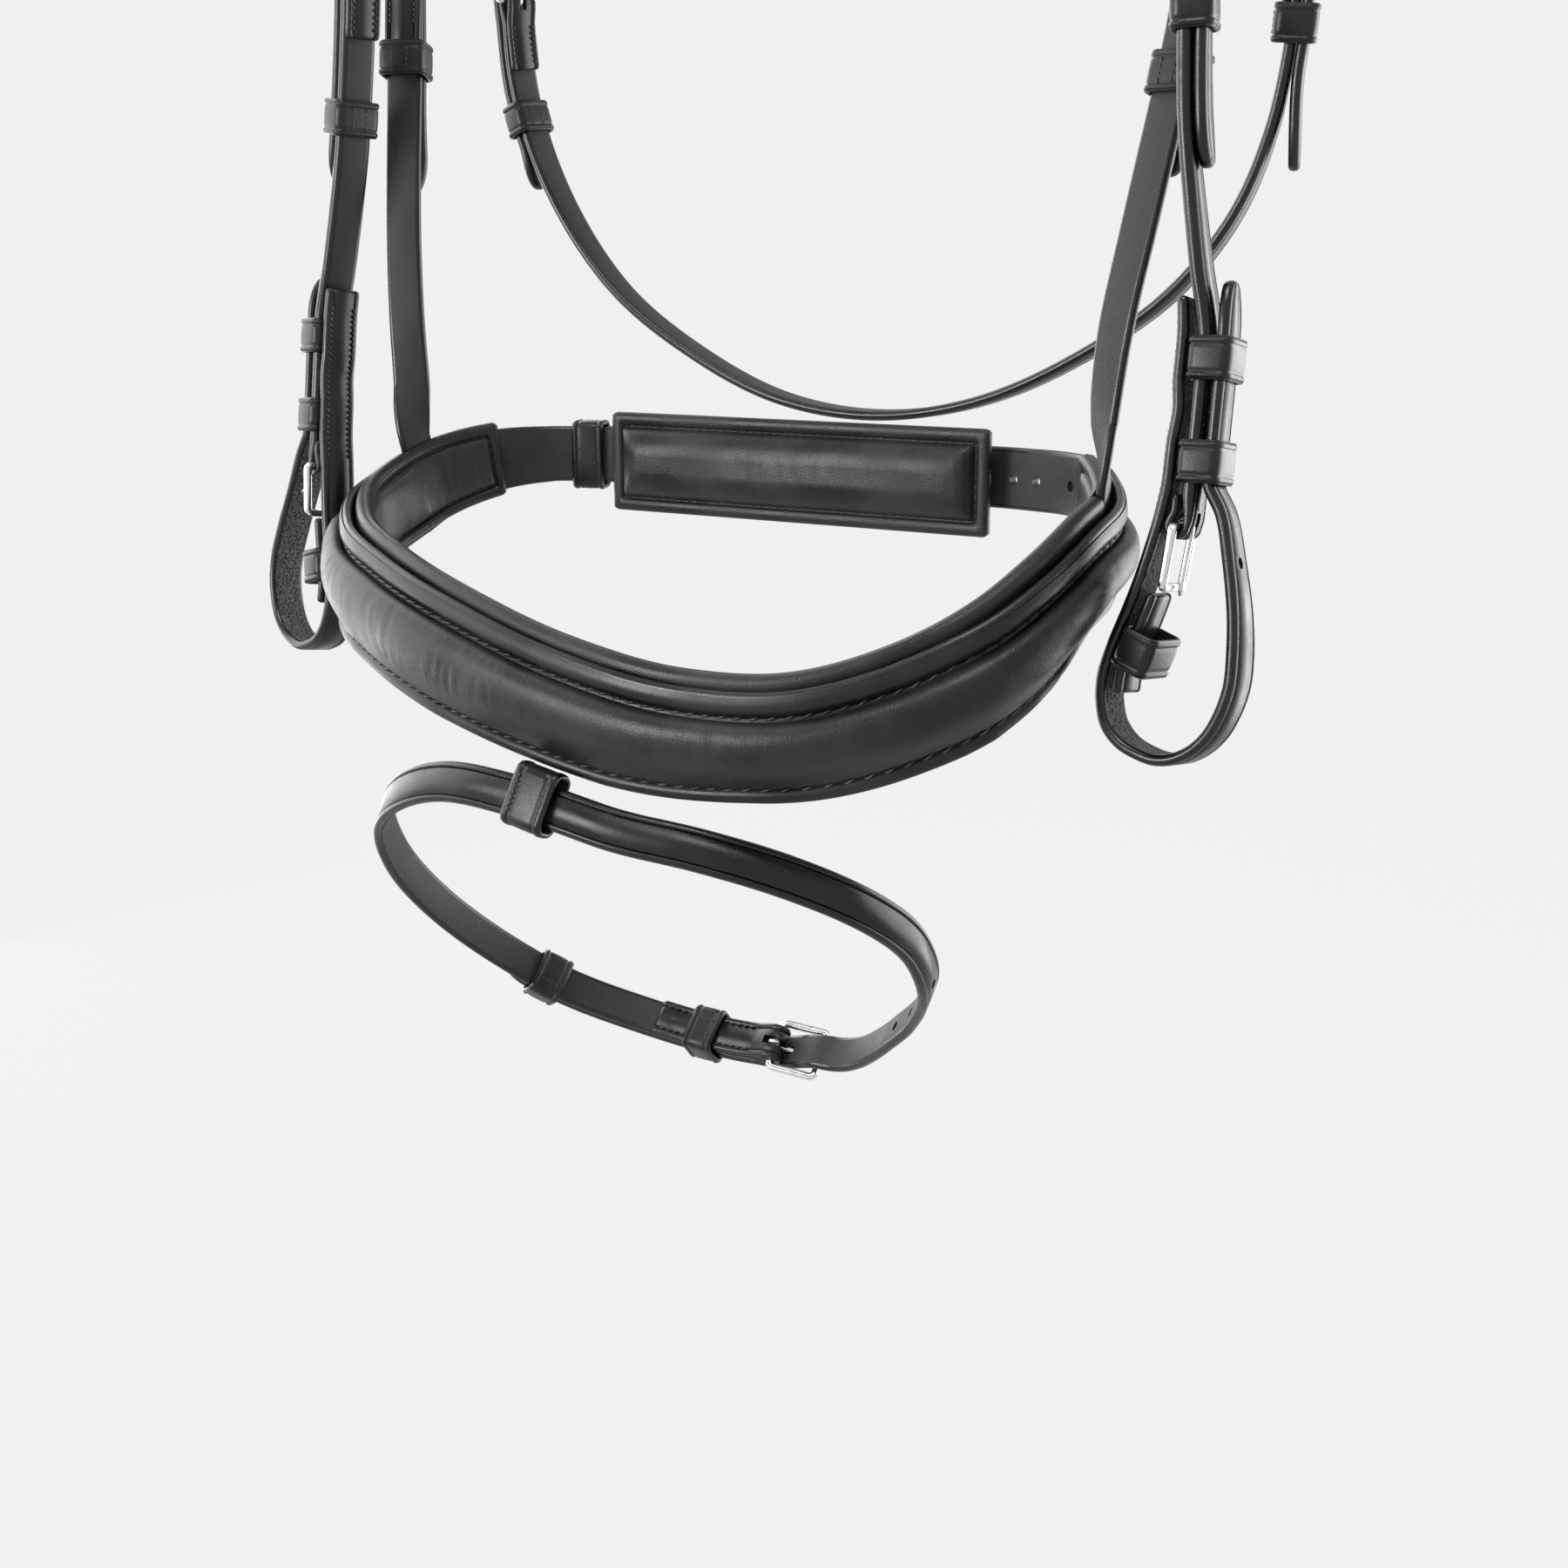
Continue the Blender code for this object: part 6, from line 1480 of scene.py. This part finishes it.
def strap_outline(left, right, low, high, relief=None):
    """Corners of a rounded, creased strap section with the finish of the side after each."""
    thick, middle = high - low, (low + high) / 2
    reach = min(thick * EDGE_REACH_SHARE, (right - left) / 3)
    inset = min(CREASE_INSET, (right - left) / 4)
    half = min(CREASE_HALF_WIDTH, inset / 4)
    depth = CREASE_DEPTH * inset / CREASE_INSET
    edge = []
    for step in range(EDGE_STEPS + 1):
        angle = math.pi * (step / EDGE_STEPS - 1 / 2)
        edge.append((reach * (math.cos(angle) - 1), middle + thick / 2 * math.sin(angle)))
    if relief:
        face = [(right + across * (right - left), high + rise) for across, rise in relief]
        face_zones = [FACE] * (len(face) + 1)
    else:
        face = [(right - inset + half, high), (right - inset, high - depth), (right - inset - half, high)]
        face += [(left + right - across, rise) for across, rise in reversed(face)]
        # The crease flanks take the dark edge finish: painted shade along each crease
        face_zones = [FACE, EDGE, EDGE] * 2 + [FACE]
    points = [(right + across, rise) for across, rise in edge] + face
    points += [(left - across, rise) for across, rise in reversed(edge)]
    zones = [EDGE] * EDGE_STEPS + face_zones + [EDGE] * EDGE_STEPS + [BACK]
    return points, zones


def end_share(distance, reach):
    """How much of its thickness a strap keeps this near its end."""
    if distance >= reach:
        return 1
    return END_FLAT_SHARE + (1 - END_FLAT_SHARE) * math.sqrt(1 - (1 - distance / reach) ** 2)


def wrinkle(place, across, seed):
    """How deep a crease of the padding is at a place."""
    patch = noise.noise(Vector((place / WRINKLE_PATCH, across / WRINKLE_PATCH, seed)))
    ridge = noise.noise(Vector((place / WRINKLE_PITCH, across / WRINKLE_LENGTH, seed + 1 / 2)))
    return WRINKLE_DEPTH * max(0, patch + 1 / 4) * (1 - abs(ridge)) ** 3


def cushion_shares(crest=None):
    """A cushion's outline, as shares of its half width and bulge.

    With a crest it slopes gently from its first edge to the crest and rounds off past it.
    """
    shares = []
    for step in range(CUSHION_STEPS + 1):
        angle = math.pi * (1 - step / CUSHION_STEPS)
        across = math.copysign(abs(math.cos(angle)) ** CUSHION_ACROSS_POWER, math.cos(angle))
        rise = abs(math.sin(angle)) ** CUSHION_RISE_POWER
        if crest is not None and across < 0:
            rise = math.sin(math.pi / 2 * (1 + across)) ** CUSHION_SLOPE_POWER
            across = (1 + crest) * (1 + across) - 1
        elif crest is not None:
            across = crest + (1 - crest) * across
        shares.append((across, rise))
    return shares


CUSHION_ACROSS_POWER = 0.85
CUSHION_SLOPE_POWER = 1.05
ROLL_CREST = 0.22


CUSHION_RISE_POWER = 0.80


CUSHION_END_SHARES = (0.004, 0.016, 0.04, 0.08)


def rod(name, points, half_wide, half_high, finish, closed):
    """A polished rod along points in its own frame, wider in its plane than across it."""
    sections = []
    count = len(points)
    for index, point in enumerate(points):
        before = points[index - 1] if closed or index else point
        after = points[(index + 1) % count] if closed or index < count - 1 else point
        along = (after - before).normalized()
        side = Vector((1, 0, 0)) if not closed else along.cross(ROD_UP).normalized()
        up = side.cross(along).normalized()
        ending = 1 if closed or 0 < index < count - 1 else 1 / 2
        section = []
        for step in range(ROD_SIDES):
            angle = 2 * math.pi * step / ROD_SIDES
            wide = math.copysign(abs(math.cos(angle)) ** ROD_POWER, math.cos(angle)) * half_wide * ending
            high = math.copysign(abs(math.sin(angle)) ** ROD_POWER, math.sin(angle)) * half_high * ending
            section.append(point + side * wide + up * high)
        sections.append(section)
    return loft(name, sections, [FACE] * ROD_SIDES, finish, closed=closed)


ROD_UP = Vector((0, 1, 0))


ROD_SIDES = 16


ROD_POWER = 0.75


def band(name, frame, left, right, low, high, height, wall, finish, corner=KEEPER_CORNER):
    """A creased leather band round a rounded rectangle in the frame, with its seam inward."""
    radius = max(corner - wall / 2, wall / 2 + CREASE_HALF_WIDTH)
    corners = (
        (right - radius, low + radius, -90), (right - radius, high - radius, 0),
        (left + radius, high - radius, 90), (left + radius, low + radius, 180),
    )
    sections = []
    for across, outward, first in corners:
        for step in range(KEEPER_CORNER_STEPS + 1):
            angle = math.radians(first + 90 * step / KEEPER_CORNER_STEPS)
            normal = Vector((math.cos(angle), math.sin(angle), 0))
            middle = Vector((across, outward, 0)) + normal * radius
            points, zones = strap_outline(-height / 2, height / 2, -wall / 2, wall / 2, KEEPER_RELIEF)
            sections.append([middle + normal * rise + Vector((0, 0, along)) for along, rise in points])
    made = loft(name, sections, zones, finish, closed=True)
    made.matrix_world = frame
    return made


KEEPER_SEAM_OFFSET = 0.0026
KEEPER_RELIEF = (
    (-0.05, 0.00008), (-0.10, 0.00022), (-0.135, 0.00022), (-0.16, 0.0), (-0.18, -0.00028), (-0.205, -0.00028),
    (-0.235, -0.00004), (-0.30, 0.0), (-0.5, 0.00005), (-0.70, 0.0), (-0.765, -0.00004), (-0.795, -0.00028),
    (-0.82, -0.00028), (-0.84, 0.0), (-0.865, 0.00022), (-0.90, 0.00022), (-0.95, 0.00008),
)


def stitches(name, rows, pitch, radius=THREAD_RADIUS):
    """Slanted thread stitches along rows. In each row's frames z runs along it and y out of the leather."""
    mesh = bpy.data.meshes.new(name + "_stitches")
    shape = bmesh.new()
    for frame_at, start, end in rows:
        count = max(1, round((end - start) / pitch))
        for index in range(count):
            frame = frame_at(start + (end - start) * (index + 1 / 2) / count)
            frame = frame @ Matrix.Rotation(math.radians(STITCH_SLANT_DEGREES), 4, "Y")
            half = (end - start) / count / 2 * STITCH_FILL_SHARE
            rings = []
            for share, girth in STITCH_SHARES:
                ring = []
                for side in range(STITCH_SIDES):
                    angle = 2 * math.pi * side / STITCH_SIDES
                    x = radius * girth * math.cos(angle)
                    y = radius * (girth * math.sin(angle) + 1 / 3 - share ** 2)
                    ring.append(shape.verts.new(frame @ Vector((x, y, share * half))))
                rings.append(ring)
            for ring, following in zip(rings, rings[1:]):
                for side in range(STITCH_SIDES):
                    after = (side + 1) % STITCH_SIDES
                    shape.faces.new((ring[side], ring[after], following[after], following[side])).smooth = True
            shape.faces.new(rings[0][::-1])
            shape.faces.new(rings[-1])
    bmesh.ops.recalc_face_normals(shape, faces=shape.faces)
    shape.to_mesh(mesh)
    shape.free()
    mesh.materials.append(THREAD)
    made = bpy.data.objects.new(name + "_stitches", mesh)
    bpy.context.scene.collection.objects.link(made)
    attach(made, BODY_OF[name])
    return made


def line_row(line, start, end, across=0, outward=0, inside=False):
    """A row of stitches along a line. Inside rows lie on the strap's back."""
    def frame_at(place):
        frame = moved(line.at(place), across=across, outward=outward)
        return frame @ Matrix.Rotation(math.pi, 4, "Z") if inside else frame
    return frame_at, start, end


def chape_end(keeper_place):
    """Where a return's stitch rows end, clear of the keeper that slides over it."""
    return min(RETURN_LENGTH - CHAPE_STITCH_INSET, keeper_place - KEEPER_HEIGHT / 2 - KEEPER_SLIDE_ROOM)


def chape_rows(axis, thickness, start, end, across=0, outward=0, width=STRAP_WIDTH):
    """Two rows on the back of a folded return, from near the buckle to its end."""
    depth = outward + return_depth(thickness) - SKIVED_THICKNESS / 2
    side = width / 2 - CHAPE_STITCH_INSET
    return [line_row(axis, start, end, across + sign * side, depth, True) for sign in (-1, 1)]


def node(tree, kind, inputs=(), **settings):
    made = tree.nodes.new("ShaderNode" + kind)
    for key, value in settings.items():
        setattr(made, key, value)
    for key, value in dict(inputs).items():
        if isinstance(value, bpy.types.NodeSocket):
            tree.links.new(value, made.inputs[key])
        else:
            made.inputs[key].default_value = value
    return made


def ramped(tree, value, low, high, start=0.0, end=1.0):
    """The value mapped from one range to another."""
    inputs = {"Value": value, "From Min": start, "From Max": end, "To Min": low, "To Max": high}
    return node(tree, "MapRange", inputs).outputs["Result"]


LEATHER_GLOSS = 0.27


def leather(name, dark, light, smooth, rough, grain, depth, gloss=LEATHER_GLOSS, streaks=0.0,
            speckled=False):
    """Grained leather: its colour and gloss vary over patches, and its grain is raised.

    Streaks are fine creases across the strap, as deep as the value says. Speckled leather varies from
    grain to grain instead of over patches.
    """
    made = bpy.data.materials.new(name)
    made.use_nodes = True
    tree = made.node_tree
    shader = tree.nodes["Principled BSDF"]
    where = node(tree, "TexCoord").outputs["Object"]
    patches = node(tree, "TexNoise", {"Vector": where, "Scale": PATCH_SCALE, "Detail": 5.0}).outputs["Fac"]
    specks = node(tree, "TexNoise", {"Vector": where, "Scale": grain * 2, "Detail": 3.0}).outputs["Fac"]
    cells = node(tree, "TexVoronoi", {"Vector": where, "Scale": grain}, feature="F1").outputs["Distance"]
    shade = ramped(tree, specks if speckled else patches, 0.0, 1.0, PATCH_LOW, PATCH_HIGH)
    color = node(tree, "Mix", {"Factor": shade}, data_type="RGBA")
    for key, value in (("A", dark), ("B", light)):
        next(i for i in color.inputs if i.name == key and i.type == "RGBA").default_value = (*value, 1.0)
    tree.links.new(next(o for o in color.outputs if o.type == "RGBA"), shader.inputs["Base Color"])
    mixed = node(tree, "Math", {0: patches, 1: specks}, operation="MULTIPLY").outputs[0]
    tree.links.new(ramped(tree, mixed, smooth, rough, GLOSS_LOW, GLOSS_HIGH), shader.inputs["Roughness"])
    height = node(tree, "Math", {0: cells, 1: specks}, operation="ADD").outputs[0]
    bump = node(tree, "Bump", {"Height": height, "Distance": depth, "Strength": 1.0}).outputs["Normal"]
    if streaks:
        sheet = node(tree, "UVMap", uv_map="sheet").outputs["UV"]
        stretched = node(tree, "Mapping", {"Vector": sheet, "Scale": STREAK_SCALE}).outputs["Vector"]
        lines = node(tree, "TexNoise", {"Vector": stretched, "Scale": 1.0, "Detail": 4.0}).outputs["Fac"]
        folds = node(tree, "Math", {0: lines, 1: patches}, operation="MULTIPLY").outputs[0]
        bump = node(tree, "Bump", {"Height": folds, "Distance": streaks, "Normal": bump}).outputs["Normal"]
    tree.links.new(bump, shader.inputs["Normal"])
    shader.inputs["Specular IOR Level"].default_value = gloss
    return made


PATCH_SCALE = 45.0
PATCH_LOW = 0.38
PATCH_HIGH = 0.64
GLOSS_LOW = 0.18
GLOSS_HIGH = 0.34
STREAK_SCALE = (130.0, 1100.0, 1.0)


def steel(name):
    """Polished steel with faint brushing."""
    made = bpy.data.materials.new(name)
    made.use_nodes = True
    tree = made.node_tree
    shader = tree.nodes["Principled BSDF"]
    shader.inputs["Metallic"].default_value = 1.0
    where = node(tree, "TexCoord").outputs["Object"]
    marks = node(tree, "TexNoise", {"Vector": where, "Scale": STEEL_SCALE, "Detail": 4.0}).outputs["Fac"]
    tree.links.new(ramped(tree, marks, STEEL_SMOOTH, STEEL_ROUGH), shader.inputs["Roughness"])
    shade = node(tree, "Mix", {"Factor": marks}, data_type="RGBA")
    for key, value in (("A", STEEL_DARK), ("B", STEEL_LIGHT)):
        [i for i in shade.inputs if i.name == key and i.type == "RGBA"][0].default_value = (*value, 1.0)
    tree.links.new([o for o in shade.outputs if o.type == "RGBA"][0], shader.inputs["Base Color"])
    return made


STEEL_SCALE = 400.0


STEEL_SMOOTH = 0.10


STEEL_ROUGH = 0.26


STEEL_DARK = (0.55, 0.55, 0.56)


STEEL_LIGHT = (0.74, 0.74, 0.75)


GRAIN = leather("leather_grain", (0.006, 0.006, 0.0063), (0.014, 0.014, 0.0146), 0.24, 0.46, 2300.0, 0.000024)
# The darkest finish: the burnished strap edges, and painted shade on the crease flanks
BURNISHED_EDGE_AND_CREASE_SHADE = leather("leather_edge", (0.0015, 0.0015, 0.0015), (0.004, 0.004, 0.004), 0.24, 0.42, 1500.0, 0.00001, 0.42)
FLESH = leather("leather_back", (0.017, 0.017, 0.0175), (0.030, 0.030, 0.031), 0.50, 0.72, 1600.0, 0.00005)
SUEDE = leather("leather_suede", (0.010, 0.010, 0.010), (0.110, 0.110, 0.108), 0.85, 1.0, 650.0, 0.00060,
                speckled=True)
SOFT = leather("leather_soft", (0.008, 0.008, 0.0083), (0.017, 0.017, 0.0177), 0.27, 0.48, 2000.0, 0.00004,
               LEATHER_GLOSS, 0.00013)
THREAD = leather("thread", (0.012, 0.012, 0.012), (0.070, 0.070, 0.070), 0.35, 0.55, 3000.0, 0.00004)


LEATHER = (GRAIN, BURNISHED_EDGE_AND_CREASE_SHADE, FLESH)


ROUGH_LEATHER = (GRAIN, BURNISHED_EDGE_AND_CREASE_SHADE, SUEDE)


PADDING = (SOFT, SOFT, SOFT)


STEEL = (steel("polished_steel"),)


FLASH_LOOP_SEAM = 0.0054
FLASH_LOOP_PITCH = 0.0019
FLASH_LOOP_CORNER = 0.0034


def settle():
    """Turns every cut and curve into a plain mesh, and clears the cutters away."""
    bpy.context.view_layer.update()
    deps = bpy.context.evaluated_depsgraph_get()
    for piece in PARTS.objects:
        if piece.modifiers or piece.type == "CURVE":
            mesh = bpy.data.meshes.new_from_object(piece.evaluated_get(deps))
            piece.modifiers.clear()
            mesh.set_sharp_from_angle(angle=math.radians(SHARP_DEGREES))
            piece.data = mesh
    for cutter in list(CUTTERS.objects):
        bpy.data.objects.remove(cutter)


def dress():
    """Puts every piece on its solid's body, in its place."""
    for piece in list(PARTS.objects):
        own = piece.name.removesuffix(SHOWN)
        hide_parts(own)
        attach(piece, BODY_OF[own])


def add_stage():
    """Pale floor and surroundings, two soft lamps and the camera at the photograph's angle."""
    world = bpy.data.worlds.new("studio")
    bpy.context.scene.world = world
    world.use_nodes = True
    tree = world.node_tree
    rays = node(tree, "LightPath").outputs
    seen = node(tree, "Math", {0: rays["Is Camera Ray"], 1: rays["Is Glossy Ray"]}, operation="MAXIMUM").outputs[0]
    seen = node(tree, "Math", {0: seen, 1: rays["Is Transmission Ray"]}, operation="MAXIMUM").outputs[0]
    plain = tree.nodes["Background"]
    plain.inputs["Color"].default_value = (1.0, 1.0, 1.0, 1.0)
    plain.inputs["Strength"].default_value = AMBIENT
    backdrop = node(tree, "Background", {"Color": (*BACKDROP, 1.0), "Strength": 1.0}).outputs[0]
    mixed = node(tree, "MixShader", {0: seen, 1: plain.outputs[0], 2: backdrop}).outputs[0]
    tree.links.new(mixed, tree.nodes["World Output"].inputs["Surface"])
    mesh = bpy.data.meshes.new("floor")
    corners = [(-FLOOR_SIZE, -FLOOR_SIZE, FLOOR_DROP), (FLOOR_SIZE, -FLOOR_SIZE, FLOOR_DROP),
               (FLOOR_SIZE, FLOOR_SIZE, FLOOR_DROP), (-FLOOR_SIZE, FLOOR_SIZE, FLOOR_DROP)]
    mesh.from_pydata(corners, [], [(0, 1, 2, 3)])
    floor = bpy.data.objects.new("floor", mesh)
    bpy.context.scene.collection.objects.link(floor)
    finish = bpy.data.materials.new("pale_floor")
    finish.use_nodes = True
    tree = finish.node_tree
    shader = tree.nodes["Principled BSDF"]
    shader.inputs["Base Color"].default_value = (*BACKDROP, 1.0)
    shader.inputs["Roughness"].default_value = 1.0
    rays = node(tree, "LightPath").outputs
    seen = node(tree, "Math", {0: rays["Is Camera Ray"], 1: rays["Is Glossy Ray"]}, operation="MAXIMUM").outputs[0]
    part = node(tree, "Math", {0: seen, 1: FLOOR_GLOW}, operation="MULTIPLY").outputs[0]
    level = (1.0 - (1.0 - FLOOR_GLOW) * AMBIENT) / FLOOR_GLOW
    glow = node(tree, "Emission", {"Color": (*BACKDROP, 1.0), "Strength": level}).outputs[0]
    mixed = node(tree, "MixShader", {0: part, 1: shader.outputs[0], 2: glow}).outputs[0]
    tree.links.new(mixed, tree.nodes["Material Output"].inputs["Surface"])
    mesh.materials.append(finish)
    for name, place, aim, size, power in LAMPS:
        data = bpy.data.lights.new(name, "AREA")
        data.shape = "DISK"
        data.size = size
        data.energy = power
        lamp = bpy.data.objects.new(name, data)
        bpy.context.scene.collection.objects.link(lamp)
        lamp.location = place
        lamp.rotation_euler = (Vector(aim) - Vector(place)).to_track_quat("-Z", "Y").to_euler()
    data = bpy.data.cameras.new("camera")
    data.lens = CAMERA_LENS
    data.clip_start = CAMERA_CLIP
    camera = bpy.data.objects.new("camera", data)
    bpy.context.scene.collection.objects.link(camera)
    camera.location = CAMERA_PLACE
    camera.rotation_euler = (math.pi / 2 - CAMERA_PITCH, 0, CAMERA_TURN)
    bpy.context.scene.camera = camera
    bpy.context.scene.view_settings.view_transform = "Standard"


AMBIENT = 0.45


BACKDROP = (0.871, 0.871, 0.871)


FLOOR_SIZE = 60.0


FLOOR_DROP = -1.1


FLOOR_GLOW = 0.985


LAMPS = (
    ("top_lamp", (0.1, -0.7, 1.2), (0.0, -0.05, -0.35), 0.7, 16.0),
    ("front_lamp", (-0.8, -1.45, -0.05), (0.0, -0.05, -0.35), 0.8, 24.0),
    ("left_lamp", (-1.6, 0.3, 0.0), (-0.1, 0.0, -0.35), 2.6, 54.0),
    ("right_lamp", (1.05, 1.15, -0.45), (0.15, 0.0, -0.4), 1.9, 38.0),
)


CAMERA_LENS = 45.0


CAMERA_CLIP = 0.02


CAMERA_PLACE = (0.3528, -0.5280, -0.265)


CAMERA_PITCH = 0.2597


CAMERA_TURN = 0.5468


def main():
    for collection in (PARTS, CUTTERS):
        bpy.context.scene.collection.children.link(collection)
    cheek_axes, cheek_heels = {}, {}
    for side in (1, -1):
        cheek_axes[side], cheek_heels[side] = add_cheek(side)
        add_bit_end(side)
    crown = add_headpiece(cheek_axes, cheek_heels)
    add_crown_pad(crown)
    add_throatlash(crown)
    ring = add_noseband()
    for side in (1, -1):
        add_hanger(side, ring, crown)
    add_chin_pad(ring)
    add_flash(ring)
    add_browband()
    settle()
    dress()
    add_stage()
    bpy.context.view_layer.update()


main()
